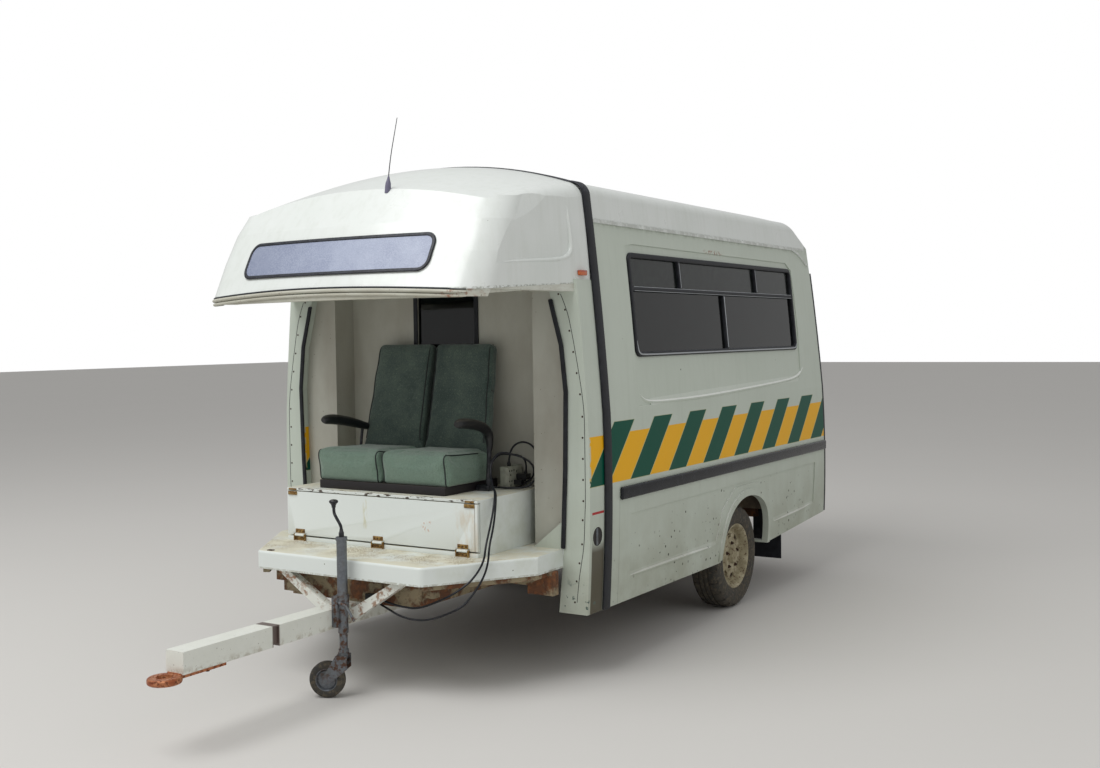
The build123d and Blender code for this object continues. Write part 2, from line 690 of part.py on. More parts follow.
def flap_hinges():
    """Pins and ears of the flap's hinges, on the platform."""
    pieces = []
    for x in FLAP_HINGES:
        hinge = rod((x - HINGE_W / 2 - 8, *FLAP_PIN), (x + HINGE_W / 2 + 8, *FLAP_PIN), FLAP_PIN_R)
        for side in (-1, 1):
            mid = x + side * (HINGE_W / 2 + 5)
            hinge += block((mid - 3, mid + 3), (FLAP_PIN[0] - 5, FLAP_PIN[0] + 5), (PLATFORM_TOP, FLAP_PIN[1] + 5))
        hinge += block((x - HINGE_W / 2 - 8, x + HINGE_W / 2 + 8), (BOX_FRONT - 2, BOX_FRONT),
                       (PLATFORM_TOP, FLAP_PIN[1] - 8))
        pieces += hinge.solids()
    return Compound(children=pieces)


def seat_base():
    """Black rail frame under the cushions."""
    return block((SEAT_MID - 400, SEAT_MID + 400), (-510, -60), (BOX_TOP, 950))


def seat_cushions():
    """Two cushions side by side."""
    left = chamfer(block((4, SEAT_HALF), (-530, -120), (950, 1105)).edges(), 18)
    return Pos(SEAT_MID, 0, 0) * both_sides(left)


def seat_backs():
    """Two backs side by side, leaning a little and narrower at the top."""
    outline = polygon([(4, 0), (SEAT_HALF - 12, 0), (SEAT_HALF - 20, 250), (SEAT_HALF - 62, 545), (4, 545)])
    back = Pos(0, -172, 1125) * Rot(-12, 0, 0) * along_y(outline, 0, 58)
    back = chamfer(back.edges(), 15)
    drop = back.distance_to(seat_cushions().solids()[0]) - 0.3
    return Pos(SEAT_MID, 0, -drop) * both_sides(back)


ARM_NEAR_X = 440
ARM_FAR_X = -395
POST_Y = -240


def armrests():
    """Arms at the seat's outer sides: the left one on a post, the right one on the back."""
    arm = rod((ARM_NEAR_X, -500, 1257), (ARM_NEAR_X, -190, 1200), 18)
    post = rod((ARM_NEAR_X, POST_Y, 1205), (ARM_NEAR_X, POST_Y, 925), 12)
    foot = block((SEAT_MID + 400, ARM_NEAR_X + 15), (POST_Y - 22, POST_Y + 22), (BOX_TOP, 932))
    far = rod((ARM_FAR_X, -500, 1257), (ARM_FAR_X, -115, 1196), 18) - seat_backs()
    far = far.solids().sort_by(Axis.Y)[0]
    return Compound(children=[(arm + post + foot).solids()[0], far])


def socket_box():
    """Electrical box at the side of the seat."""
    return fillet(block(*SOCKET_BOX).edges().filter_by(Axis.Z), 6)


# Trailer frame

def chassis_rails():
    """Side rails with the outriggers that carry the platform and the floor."""
    rail = block((RAIL_X - RAIL_W / 2, RAIL_X + RAIL_W / 2), (RAIL_FRONT, 3060), (RAIL_TOP - RAIL_H, RAIL_TOP))
    for y, reach in ((-770, 490), (-300, FOOT_X + 25), (200, FOOT_X + 20), (1150, FOOT_X + 20), (2250, FOOT_X + 20),
                     (2900, FOOT_X + 20)):
        rail += block((RAIL_X, reach), (y, y + 50), (RAIL_TOP - 75, RAIL_TOP))
    rail += block((700, FOOT_X + 45), (-300, -250), (RAIL_TOP - 115, RAIL_TOP))
    x0, x1 = PLATFORM_NOSE_HALF - 12, PLATFORM_WIDE_HALF - 12
    rim = polygon([(x0, PLATFORM_NOSE_Y + 25), (x1, PLATFORM_WIDE_Y), (x1, -250), (x1 - 30, -250),
                   (x1 - 30, PLATFORM_WIDE_Y + 10), (x0 - 30, PLATFORM_NOSE_Y + 40)])
    return both_sides(rail + along_z(rim, RAIL_TOP - 24, RAIL_TOP))


def cross_members():
    """Members between the side rails."""
    inner = RAIL_X - RAIL_W / 2
    bars = [block((-inner, inner), (y, y + 60), (BEAM_Z[1], RAIL_TOP))
            for y in (RAIL_FRONT, -200, 260, 1100, 2150, 2990)]
    return Compound(children=bars)


def drawbar():
    """Box beam, notched where its two lengths meet, with the struts up to the platform."""
    half = BEAM_W / 2
    beam = block((-half, half), (BEAM_FRONT, BEAM_REAR), BEAM_Z)
    gap = (BEAM_JOINT_Y - BEAM_JOINT_GAP / 2, BEAM_JOINT_Y + BEAM_JOINT_GAP / 2)
    notch = block((-half - 5, half + 5), gap, (BEAM_Z[0] - 5, BEAM_Z[1] - 6))
    notch -= block((-half + 10, half - 10), gap, (BEAM_Z[0] + 10, BEAM_Z[1]))
    strut = along_y(polygon([(45, 322), (45, 385), (325, RAIL_TOP), (400, RAIL_TOP)]), *STRUT_Y)
    return beam - notch + strut + mirrored(strut)


def tow_eye():
    """Ring and its plate under the front of the beam."""
    ring = fillet((Pos(0, EYE_Y, EYE_Z) * Cylinder(EYE_RADIUS, EYE_T)).edges(), 10)
    ring -= Pos(0, EYE_Y, EYE_Z) * Cylinder(EYE_BORE, 80)
    plate = block((-40, 40), (EYE_Y + 50, BEAM_FRONT + 240), (BEAM_Z[0] - 16, BEAM_Z[0]))
    return ring + plate


def jockey_tube():
    """Clamped tube that the leg slides in."""
    z0, z1 = JOCKEY_TUBE_Z
    tube = Pos(JOCKEY_X, JOCKEY_Y, (z0 + z1) / 2) * Cylinder(JOCKEY_TUBE_R, z1 - z0)
    tube += Pos(JOCKEY_X, JOCKEY_Y, 452) * Cylinder(JOCKEY_TUBE_R + 6, 62)
    tube += block((BEAM_W / 2, JOCKEY_X), (JOCKEY_Y - 40, JOCKEY_Y + 24), (BEAM_Z[0] + 10, BEAM_Z[1] + 62))
    tube += rod((JOCKEY_X, JOCKEY_Y - 28, 450), (JOCKEY_X + 65, JOCKEY_Y - 52, 446), 7)
    tube += rod((JOCKEY_X + 61, JOCKEY_Y - 50, 449), (JOCKEY_X + 118, JOCKEY_Y - 58, 384), 6)
    tube += Pos(JOCKEY_X, JOCKEY_Y, z1 + 8) * Cylinder(JOCKEY_TUBE_R + 3, 16)
    bore = Pos(JOCKEY_X, JOCKEY_Y, (z0 + z1) / 2 - 5) * Cylinder(JOCKEY_LEG_R + 0.4, z1 - z0 - 10 + 1)
    return tube - bore


def crank_handle():
    """Cranked rod on top of the jockey tube, with its knob."""
    z = JOCKEY_TUBE_Z[1] + 16
    knob_x = JOCKEY_X - 44
    crank = rod((JOCKEY_X, JOCKEY_Y, z), (JOCKEY_X, JOCKEY_Y, z + 30), 12)
    crank += rod((JOCKEY_X, JOCKEY_Y, z + 20), (JOCKEY_X, JOCKEY_Y, 798), 7)
    crank += rod((JOCKEY_X, JOCKEY_Y, 796), (knob_x, JOCKEY_Y, 862), 7)
    crank += rod((knob_x, JOCKEY_Y, 860), (knob_x, JOCKEY_Y, 910), 7)
    crank += Pos(JOCKEY_X, JOCKEY_Y, 796) * Sphere(7.5) + Pos(knob_x, JOCKEY_Y, 861) * Sphere(7.5)
    return crank + Pos(knob_x, JOCKEY_Y, 898) * Cone(10, 15, 26) + Pos(knob_x, JOCKEY_Y, 918) * Cylinder(19, 16)


AXLE_X = JOCKEY_X + TRAIL_DIR[0] * JOCKEY_TRAIL
AXLE_JY = JOCKEY_Y + TRAIL_DIR[1] * JOCKEY_TRAIL
TRAIL_ANGLE = degrees(atan2(TRAIL_DIR[1], TRAIL_DIR[0]))


def jockey_leg():
    """Inner leg with the swivel's collar."""
    leg = rod((JOCKEY_X, JOCKEY_Y, 225), (JOCKEY_X, JOCKEY_Y, 600), JOCKEY_LEG_R)
    collar = rod((JOCKEY_X, JOCKEY_Y, 212), (JOCKEY_X, JOCKEY_Y, 228), 24)
    pivot = rod((JOCKEY_X, JOCKEY_Y, 190), (JOCKEY_X, JOCKEY_Y, 212), SWIVEL_R)
    return leg + collar + pivot


def jockey_fork():
    """Fork with its trailing arms and the wheel's pin, drawn along +X and turned."""
    crown = Pos(0, 0, 202) * Cylinder(26, 18)
    bridge = block((-24, 30), (-36, 36), (193, 202))
    arm_face = polygon([(-24, 202), (-24, 140), (JOCKEY_TRAIL - 14, 68), (JOCKEY_TRAIL + 16, 72),
                        (JOCKEY_TRAIL + 16, 98), (30, 202)])
    arms = along_y(arm_face, 30, 36) + along_y(arm_face, -36, -30)
    bore = Pos(0, 0, 202) * Cylinder(SWIVEL_R + RUNNING_GAP, 60)
    pin = rod((JOCKEY_TRAIL, -36, JOCKEY_WHEEL_R), (JOCKEY_TRAIL, 36, JOCKEY_WHEEL_R), 8)
    return Pos(JOCKEY_X, JOCKEY_Y, 0) * Rot(0, 0, TRAIL_ANGLE) * (crown + bridge + arms + pin - bore)


def jockey_wheel():
    """Small solid wheel with a bore that runs on the pin."""
    half = JOCKEY_WHEEL_W / 2
    wheel = rod((JOCKEY_TRAIL, -half, JOCKEY_WHEEL_R), (JOCKEY_TRAIL, half, JOCKEY_WHEEL_R), JOCKEY_WHEEL_R)
    wheel = fillet(wheel.edges(), 12)
    wheel -= rod((JOCKEY_TRAIL, -60, JOCKEY_WHEEL_R), (JOCKEY_TRAIL, 60, JOCKEY_WHEEL_R), 8 + RUNNING_GAP)
    return Pos(JOCKEY_X, JOCKEY_Y, 0) * Rot(0, 0, TRAIL_ANGLE) * wheel


# Axle, springs and wheels

def axle_beam():
    """Tube between the wheels with a spindle at each end."""
    inner = WHEEL_FACE_X - TYRE_WIDTH - 45
    tube = rod((-inner, AXLE_Y, TYRE_RADIUS), (inner, AXLE_Y, TYRE_RADIUS), 32)
    spindle = rod((-SPINDLE_END, AXLE_Y, TYRE_RADIUS), (SPINDLE_END, AXLE_Y, TYRE_RADIUS), SPINDLE_RADIUS)
    return tube + spindle


def leaf_springs():
    """Spring packs above the axle with their hangers to the rails."""
    z = TYRE_RADIUS + 32
    pack = block((RAIL_X - 25, RAIL_X + 25), (AXLE_Y - 450, AXLE_Y + 450), (z, z + 26))
    ends = [block((RAIL_X - 28, RAIL_X + 28), (y, y + 60), (z + 26, RAIL_TOP - RAIL_H))
            for y in (AXLE_Y - 450, AXLE_Y + 390)]
    return both_sides(pack + ends[0] + ends[1])


def tyre_left():
    """Tyre as one ring."""
    x0, x1 = WHEEL_FACE_X - TYRE_WIDTH, WHEEL_FACE_X
    tyre = rod((x0, AXLE_Y, TYRE_RADIUS), (x1, AXLE_Y, TYRE_RADIUS), TYRE_RADIUS)
    tyre = fillet(tyre.edges(), 35)
    return tyre - rod((x0 - 5, AXLE_Y, TYRE_RADIUS), (x1 + 5, AXLE_Y, TYRE_RADIUS), RIM_RADIUS - 12)


def rim_left():
    """Steel rim with its disc and hub."""
    x0, x1 = WHEEL_FACE_X - TYRE_WIDTH + 12, WHEEL_FACE_X - 12
    z = TYRE_RADIUS
    outer = rod((x0, AXLE_Y, z), (x1, AXLE_Y, z), RIM_RADIUS - 12)
    well = rod((x0 - 5, AXLE_Y, z), (x1 - 45, AXLE_Y, z), RIM_RADIUS - 24)
    face = rod((x1 - 37, AXLE_Y, z), (x1 + 5, AXLE_Y, z), RIM_RADIUS - 24)
    hub = rod((x0 + 40, AXLE_Y, z), (x1 - 10, AXLE_Y, z), 45)
    bore = rod((x0, AXLE_Y, z), (SPINDLE_END + 1, AXLE_Y, z), SPINDLE_RADIUS + RUNNING_GAP)
    return outer - well - face + hub - bore


def mudflaps():
    """Rubber flaps behind the wheels."""
    return both_sides(block((BASE_HALF - 228, BASE_HALF - 33), (2427, 2433), (180, RAIL_TOP)))


# Cables: two from the plugs in the socket box to the drawbar, and the lead from the box to the seat's base

CABLE_R = 5
CABLE_SIDES = 8
CABLE_OUTER = [(548, -62, 937), (598, -74, 960), (620, -98, 1020), (590, -122, 1062), (540, -172, 1088),
               (504, -232, 1104), (486, -284, 1062), (503, -314, 992), (554, -368, 945), (615, -436, 930),
               (643, -502, 840), (674, -580, 766), (697, -640, 715), (692, -649, 641), (662, -694, 566),
               (617, -750, 516), (528, -785, 466), (423, -802, 426), (336, -804, 427), (254, -804, 437),
               (180, -802, 453)]
CABLE_INNER = [(533, -42, 995), (545, -52, 1040), (535, -95, 1075), (510, -155, 1085), (492, -222, 1092),
               (476, -272, 1050), (492, -302, 985), (545, -352, 938), (608, -418, 924), (643, -484, 828),
               (679, -560, 760), (700, -616, 712), (703, -633, 624), (684, -660, 548), (642, -725, 457),
               (600, -759, 425), (507, -787, 385), (421, -800, 371), (323, -802, 379), (244, -803, 411),
               (180, -802, 434)]
SOCKET_LEAD = [(460, -85, 1042), (464, -82, 1108), (524, -62, 1146), (596, -60, 1122), (620, -58, 1050),
               (620, -66, 975), (592, -112, 918), (520, -150, 916), (446, -170, 917), (392, -176, 920)]
PLUG_LOW = ((-88, -44), (925, 949))
PLUG_HIGH = ((-64, -20), (951, 977))
CLIP = ((125, 165), (STRUT_Y[1], -790), (425, 470))


def cable(points):
    """Cable along straight runs joined by arcs as large as the runs allow."""
    runs = [Vector(*end) - Vector(*start) for start, end in zip(points, points[1:])]
    radii = [0.45 * min(a.length, b.length) / tan(radians(a.get_angle(b) / 2)) for a, b in zip(runs, runs[1:])]
    path = FilletPolyline(*points, radius=radii)
    section = Plane(origin=points[0], z_dir=runs[0]) * RegularPolygon(CABLE_R, CABLE_SIDES)
    tube = sweep(section, path=path)
    print("cable", round(path.length), "mm, radii", [round(radius) for radius in radii])
    print("volume over section times length", round(tube.volume / (section.area * path.length), 4))
    return tube


def relief(point, towards, length=18):
    """Tapered strain relief that ends where a cable leaves it."""
    run = (Vector(*towards) - Vector(*point)).normalized()
    return Plane(origin=Vector(*point) - run * (length / 2), z_dir=run) * Cone(CABLE_R + 5, CABLE_R + 1, length)


def cable_ends():
    """Plugs, glands and the clip on the strut that the cables end in."""
    face = SOCKET_BOX[0][1]
    low = block((face, CABLE_OUTER[0][0] - 14), *PLUG_LOW) + relief(CABLE_OUTER[0], CABLE_OUTER[1])
    high = block((face, CABLE_INNER[0][0] + 14), *PLUG_HIGH) + relief(CABLE_INNER[0], CABLE_INNER[1], 20)
    x, y, z = SOCKET_LEAD[0]
    top = rod((x, y, SOCKET_BOX[2][1]), (x, y, z - 10), 9) + relief(SOCKET_LEAD[0], SOCKET_LEAD[1], 14)
    x, y, z = SOCKET_LEAD[-1]
    side = rod((SEAT_MID + 400, y, z), (x - 10, y, z), 10) + relief(SOCKET_LEAD[-1], SOCKET_LEAD[-2], 14)
    clip = block(*CLIP)
    for route in (CABLE_OUTER, CABLE_INNER):
        clip += relief(route[-1], route[-2])
    return Compound(children=[*low.solids(), *high.solids(), *top.solids(), *side.solids(), *clip.solids()])


left = left_side_panel()
door = rear_door_left()
pane = rear_glass_left()
PIECES = {
    "left_side_panel": left,
    "right_side_panel": mirrored(left),
    "roof_panel": roof_panel(),
    "rear_frame": rear_frame(),
    "floor_panel": floor_panel(),
    "front_bulkhead": front_bulkhead(),
    "hatch_glass": hatch_glass(),
    "pod_shell": pod_shell(),
    "header_rails": header_rails(),
    "front_pillars": both_sides(front_pillar()),
    "seam_strip": seam_strip(),
    "door_seals": door_seals(),
    "rub_rails": rub_rails(),
    "side_window_frames": side_window_frames(),
    "side_window_glass": side_window_glass(),
    "sign_panel": sign_panel(),
    "sign_surround": sign_surround(),
    "marker_lamps": marker_lamps(),
    "aerial": aerial(),
    "platform": platform(),
    "storage_box": storage_box(),
    "storage_flap": storage_flap(),
    "flap_hinges": flap_hinges(),
    "seat_base": seat_base(),
    "seat_cushions": seat_cushions(),
    "seat_backs": seat_backs(),
    "armrests": armrests(),
    "socket_box": socket_box(),
    "chassis_rails": chassis_rails(),
    "cross_members": cross_members(),
    "drawbar": drawbar(),
    "tow_eye": tow_eye(),
    "jockey_tube": jockey_tube(),
    "crank_handle": crank_handle(),
    "jockey_leg": jockey_leg(),
    "jockey_fork": jockey_fork(),
    "jockey_wheel": jockey_wheel(),
    "axle_beam": axle_beam(),
    "leaf_springs": leaf_springs(),
    "tyre_left": tyre_left(),
    "rim_left": rim_left(),
    "tyre_right": mirrored(tyre_left()),
    "rim_right": mirrored(rim_left()),
    "mudflaps": mudflaps(),
    "rear_door_left": door,
    "rear_door_right": mirrored(door),
    "rear_glass_left": pane,
    "rear_glass_right": mirrored(pane),
    "rear_lamps": rear_lamps(),
    "rear_step": rear_step(),
    "rear_corner_trims": rear_corner_trims(),
    "cable_outer": cable(CABLE_OUTER),
    "cable_inner": cable(CABLE_INNER),
    "socket_lead": cable(SOCKET_LEAD),
    "cable_ends": cable_ends(),
}
for name, shape in PIECES.items():
    save(name, shape)
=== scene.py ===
from math import atan2, cos, hypot, pi, radians, sin, tanh

import bmesh
import bpy
from bpy.props import FloatProperty, FloatVectorProperty, IntProperty, PointerProperty
from mathutils import Matrix, Vector


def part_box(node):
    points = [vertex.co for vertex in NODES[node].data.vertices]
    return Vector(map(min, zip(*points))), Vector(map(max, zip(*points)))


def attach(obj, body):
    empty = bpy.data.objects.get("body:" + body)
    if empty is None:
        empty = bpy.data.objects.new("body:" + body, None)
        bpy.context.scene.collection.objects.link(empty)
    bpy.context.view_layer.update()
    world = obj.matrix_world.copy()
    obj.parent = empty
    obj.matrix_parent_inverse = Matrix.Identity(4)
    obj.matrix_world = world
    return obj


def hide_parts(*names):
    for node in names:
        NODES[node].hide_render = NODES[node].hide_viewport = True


# Looks of an ambulance body that was cut behind its cab and set on a trailer frame.
# Metres; X is across with the left side positive, Y runs to the rear, Z is up.

bl_info = {
    "name": "Ambulance body trailer",
    "version": (1, 0, 0),
    "blender": (4, 5, 0),
    "location": "View3D > Sidebar > Trailer",
    "description": "Builds the finishes, seat, cables and small parts of an ambulance body trailer",
    "category": "Object",
}

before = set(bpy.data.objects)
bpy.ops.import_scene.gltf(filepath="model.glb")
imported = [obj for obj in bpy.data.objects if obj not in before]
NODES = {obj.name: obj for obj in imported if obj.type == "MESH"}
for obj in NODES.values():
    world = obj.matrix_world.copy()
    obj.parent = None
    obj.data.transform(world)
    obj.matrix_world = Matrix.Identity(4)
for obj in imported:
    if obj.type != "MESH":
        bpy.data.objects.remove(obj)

# Y of the seam behind the cab, where the part's own drawing has its zero
SEAM = -0.630

# Camera: focal length in mm on a 36 mm film, its place, and its turn, pitch and roll
LENS = 40.33
FILM_WIDTH = 36
CAMERA_PLACE = (3.9183, -5.8683, 1.6729)
CAMERA_TURNS = (0.5569, -0.0394, -0.0136)

# Side stripes: foot, top of the yellow band and of the bars, the bars' pitch, and their lean in m per m
STRIPE_FOOT = 0.943
YELLOW_TOP = 1.184
BARS_TOP = 1.242
BAR_PITCH = 0.4345
BAR_LEAN = 0.93

# Fall of the cap's rim, in metres for each metre forward
RIM_FALL = 0.0495

# Road wheels: middle of the left tyre, with Y from the seam
WHEEL_X = 0.8325
AXLE_Y = 1.711
AXLE_Z = 0.312

# Middle of the seat, and how far its backs lean
SEAT_X = -0.028
BACK_LEAN = radians(-12)

# Foot of the rear face, with Y from the seam, and how far the face leans forward
REAR_Y = 3.150
REAR_Z = 0.326
REAR_LEAN = atan2(0.115, 1.924)

# Vertices of a plain form that are nearer than this are one
MERGE_REACH = 0.00005

# Filled pads: grid of the cover, frames of filling, and how far the piping stands proud of the cloth
PAD_GRID = 0.006
FILL_FRAMES = 20
PIPING_PROUD = 0.0014


def linear(hex_colour):
    """sRGB hex to linear RGBA."""
    channels = [int(hex_colour[i:i + 2], 16) / 255 for i in (1, 3, 5)]
    return tuple(c / 12.92 if c <= 0.04045 else ((c + 0.055) / 1.055) ** 2.4 for c in channels) + (1.0,)


def seam(x, y, z):
    """A point measured from the seam, in the frame."""
    return Vector((x, y + SEAM, z))


# Sizes and colours

def shade_of(name, description, hex_colour):
    """A colour that a user may change."""
    return FloatVectorProperty(name=name, description=description, default=linear(hex_colour), size=4,
                               min=0, max=1, subtype="COLOR")


class TrailerColours(bpy.types.PropertyGroup):
    """Colours of the paint, plastics and cloth."""
    coach_paint: shade_of("Coach paint", "Sprayed paint of the sides and the rear", "#C8D0C5")
    gel_coat: shade_of("Gel coat", "Moulded cap and roof", "#E3E7E4")
    board_paint: shade_of("Board paint", "Brushed paint of the box and the platform", "#DEE4E0")
    lining: shade_of("Lining", "Boards behind the seat", "#B9B9AE")
    stripe_green: shade_of("Green stripe", "Leaning vinyl bars", "#00513F")
    stripe_yellow: shade_of("Yellow stripe", "Vinyl band behind the bars", "#F2B51B")
    cushion_cloth: shade_of("Cushion cloth", "Moquette of the seat cushions", "#71897A")
    # the backs' cloth is the cushions' moquette, darkened as painted shade
    back_cloth: shade_of("Back cloth", "Moquette of the seat backs", "#3D4D48")
    rubber: shade_of("Rubber", "Seals, strips and rails", "#101218")
    road_dirt: shade_of("Road dirt", "Dried mud and grime", "#5E5746")
    rust: shade_of("Rust", "Rust on paint and bare steel", "#8A4A22")
    wheel_paint: shade_of("Wheel paint", "Paint of the road wheels", "#B4AB8E")


class TrailerSizes(bpy.types.PropertyGroup):
    """Sizes of the small parts."""
    cable_width: FloatProperty(name="Cable width", description="Diameter of the cables", default=0.010,
                               min=0.004, max=0.02, unit="LENGTH")
    piping_radius: FloatProperty(name="Piping radius", description="Radius of the seat's piping",
                                 default=0.0032, min=0.001, max=0.01, unit="LENGTH")
    rivet_radius: FloatProperty(name="Rivet radius", description="Radius of a rivet's head", default=0.0052,
                                min=0.001, max=0.02, unit="LENGTH")
    swell: FloatProperty(name="Swell", description="Most that a filled pad swells", default=0.010,
                         min=0.0, max=0.03, unit="LENGTH")
    pressure: FloatProperty(name="Filling pressure", description="Pressure inside a pad", default=4.0,
                            min=0.0, max=20.0)
    wheel_steps: IntProperty(name="Wheel steps", description="Faces round a road wheel", default=72,
                             min=24, max=180)


def colour(name):
    """One of the colours, as linear RGBA."""
    return tuple(getattr(bpy.context.scene.trailer_colours, name))


def size(name):
    """One of the sizes."""
    return getattr(bpy.context.scene.trailer_sizes, name)


# Modelling steps

def alone(obj):
    """Select one object and no other."""
    bpy.ops.object.select_all(action="DESELECT")
    obj.select_set(True)
    bpy.context.view_layer.objects.active = obj


def settle(obj):
    """Put an object's place, turn and size into its mesh."""
    alone(obj)
    bpy.ops.object.transform_apply(location=True, rotation=True, scale=True)
    return obj


def block(low, high):
    """A box between two corners, as the start of a piece."""
    bpy.ops.object.select_all(action="DESELECT")
    middle = (Vector(low) + Vector(high)) / 2
    bpy.ops.mesh.primitive_cube_add(size=1, location=middle, scale=Vector(high) - Vector(low))
    return settle(bpy.context.object)


def choose(kind, test):
    """In edit mode, select the vertices, edges or faces that a test of place and normal picks."""
    bpy.context.tool_settings.mesh_select_mode = (kind == "VERT", kind == "EDGE", kind == "FACE")
    mesh = bpy.context.object.data
    form = bmesh.from_edit_mesh(mesh)
    for part in (form.verts, form.edges, form.faces):
        for element in part:
            element.select = False
    if kind == "VERT":
        for vert in form.verts:
            vert.select_set(test(vert.co, vert.normal))
    elif kind == "EDGE":
        for edge in form.edges:
            ends = [v.co for v in edge.verts]
            edge.select_set(test((ends[0] + ends[1]) / 2, (ends[1] - ends[0]).normalized()))
    else:
        for face in form.faces:
            face.select_set(test(face.calc_center_median(), face.normal))
    form.select_flush_mode()
    bmesh.update_edit_mesh(mesh)


def modify(obj, kind, **settings):
    """Add a modifier with its settings and apply it."""
    alone(obj)
    added = obj.modifiers.new(kind.lower(), kind)
    for name, value in settings.items():
        setattr(added, name, value)
    bpy.ops.object.modifier_apply(modifier=added.name)
    return obj


def round_edges(obj, width, segments=3, angle=32):
    """Round the edges that are sharper than an angle."""
    return modify(obj, "BEVEL", width=width, segments=segments, limit_method="ANGLE",
                  angle_limit=radians(angle), miter_outer="MITER_ARC")


def both_sides(obj):
    """Repeat a piece on the other side of the vehicle, in one mesh."""
    return modify(settle(obj), "MIRROR", use_axis=(True, False, False), use_mirror_merge=False)


def copied(obj, move=(0, 0, 0)):
    """A copy with its own mesh, moved."""
    alone(obj)
    bpy.ops.object.duplicate(linked=False)
    bpy.ops.transform.translate(value=move)
    return settle(bpy.context.object)


def mirrored(obj, middle):
    """A copy on the other side of a plane at X = middle, its faces turned outward again."""
    twin = copied(obj)
    bpy.ops.transform.mirror(constraint_axis=(True, False, False), center_override=(middle, 0, 0))
    settle(twin)
    bpy.ops.object.mode_set(mode="EDIT")
    bpy.ops.mesh.select_all(action="SELECT")
    bpy.ops.mesh.normals_make_consistent(inside=False)
    bpy.ops.object.mode_set(mode="OBJECT")
    return twin


def opened(plate, axis, width):
    """A flat block made a ring of a width: its two faces along an axis are inset and bridged."""
    bpy.ops.object.mode_set(mode="EDIT")
    choose("FACE", lambda c, n: abs(n[axis]) > 0.9)
    bpy.ops.mesh.inset(thickness=width)
    bpy.ops.mesh.bridge_edge_loops()
    bpy.ops.object.mode_set(mode="OBJECT")
    return plate


def round_head(place, radius, flat, segments):
    """The flattened round head of a rivet or a screw."""
    bpy.ops.object.select_all(action="DESELECT")
    bpy.ops.mesh.primitive_uv_sphere_add(segments=segments, ring_count=6, radius=radius, location=place,
                                         scale=(1, flat, 1))
    return settle(bpy.context.object)


def joined(objs):
    """Several objects as one mesh."""
    alone(objs[0])
    for obj in objs:
        obj.select_set(True)
    bpy.ops.object.join()
    return bpy.context.object


def spun(points, middle, axis, steps):
    """Turn a profile of (along the axis, radius) points round an axis through middle."""
    axis = Vector(axis).normalized()
    middle = Vector(middle)
    across = axis.orthogonal().normalized()
    places = [middle + axis * along + across * radius for along, radius in points]
    bpy.ops.object.select_all(action="DESELECT")
    bpy.ops.mesh.primitive_plane_add(size=0.001, location=places[0])
    obj = settle(bpy.context.object)
    bpy.ops.object.mode_set(mode="EDIT")
    bpy.context.tool_settings.mesh_select_mode = (True, False, False)
    bpy.ops.mesh.select_all(action="SELECT")
    bpy.ops.mesh.merge(type="CENTER")
    for start, end in zip(places, places[1:]):
        bpy.ops.mesh.extrude_vertices_move(TRANSFORM_OT_translate={"value": end - start})
    bpy.ops.mesh.select_all(action="SELECT")
    bpy.ops.mesh.spin(steps=steps, angle=2 * pi, center=middle, axis=axis)
    bpy.ops.mesh.select_all(action="SELECT")
    bpy.ops.mesh.remove_doubles(threshold=0.00002)
    bpy.ops.mesh.select_all(action="SELECT")
    bpy.ops.mesh.normals_make_consistent(inside=False)
    bpy.ops.object.mode_set(mode="OBJECT")
    return obj


def pulled(points, radius, thickness=None, order=3, sides=3, smooth=8, closed=False):
    """A round bar along points; thickness gives its share of the radius at each point."""
    curve = bpy.data.curves.new("bar", "CURVE")
    curve.dimensions = "3D"
    spline = curve.splines.new("NURBS" if order > 2 else "POLY")
    spline.points.add(len(points) - 1)
    for number, (place, point) in enumerate(zip(points, spline.points)):
        point.co = (*place, 1)
        point.radius = thickness[number] if thickness else 1
    if order > 2:
        spline.order_u = order
        spline.use_endpoint_u = not closed
    spline.use_cyclic_u = closed
    curve.bevel_depth = radius
    curve.bevel_resolution = sides
    curve.resolution_u = smooth
    curve.use_fill_caps = not closed
    obj = bpy.data.objects.new("bar", curve)
    bpy.context.scene.collection.objects.link(obj)
    alone(obj)
    bpy.ops.object.convert(target="MESH")
    return bpy.context.object


def on_surface(target, start, direction):
    """Where a ray from start meets an object, and the normal there."""
    hit, place, normal, _ = target.ray_cast(Vector(start), Vector(direction).normalized())
    if not hit:
        raise RuntimeError(f"no surface of {target.name} from {tuple(start)}")
    return place, normal


def keep(obj, name, body, finish, angle=35, replaces=()):
    """Finish a piece: its place in its mesh, its shading, name, material and body."""
    settle(obj)
    if angle:
        bpy.ops.object.shade_smooth_by_angle(angle=radians(angle))
    obj.name = name
    obj.data.name = name
    obj.data.materials.clear()
    obj.data.materials.append(finish)
    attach(obj, body)
    if replaces:
        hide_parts(*replaces)
    return obj


def merged_copy(node, name):
    """A copy of a plain form, its loose triangles merged to one skin, left in edit mode with all selected."""
    mesh = NODES[node].data.copy()
    obj = bpy.data.objects.new(name, mesh)
    bpy.context.scene.collection.objects.link(obj)
    alone(obj)
    if mesh.has_custom_normals:
        bpy.ops.mesh.customdata_custom_splitnormals_clear()
    bpy.ops.object.mode_set(mode="EDIT")
    bpy.ops.mesh.select_all(action="SELECT")
    bpy.ops.mesh.remove_doubles(threshold=MERGE_REACH)
    bpy.ops.mesh.select_all(action="SELECT")
    return obj


def softened(node, name, body, finish, width, segments=3, angle=32, ring=False):
    """A copy of a plain form with its edges rounded, that stands for it; a ring keeps its triangles."""
    obj = merged_copy(node, name)
    bpy.ops.mesh.mark_sharp(clear=True)
    if not ring:
        bpy.ops.mesh.dissolve_limited(angle_limit=radians(0.8))
    bpy.ops.object.mode_set(mode="OBJECT")
    round_edges(obj, width, segments, angle)
    return keep(obj, name, body, finish, replaces=(node,))


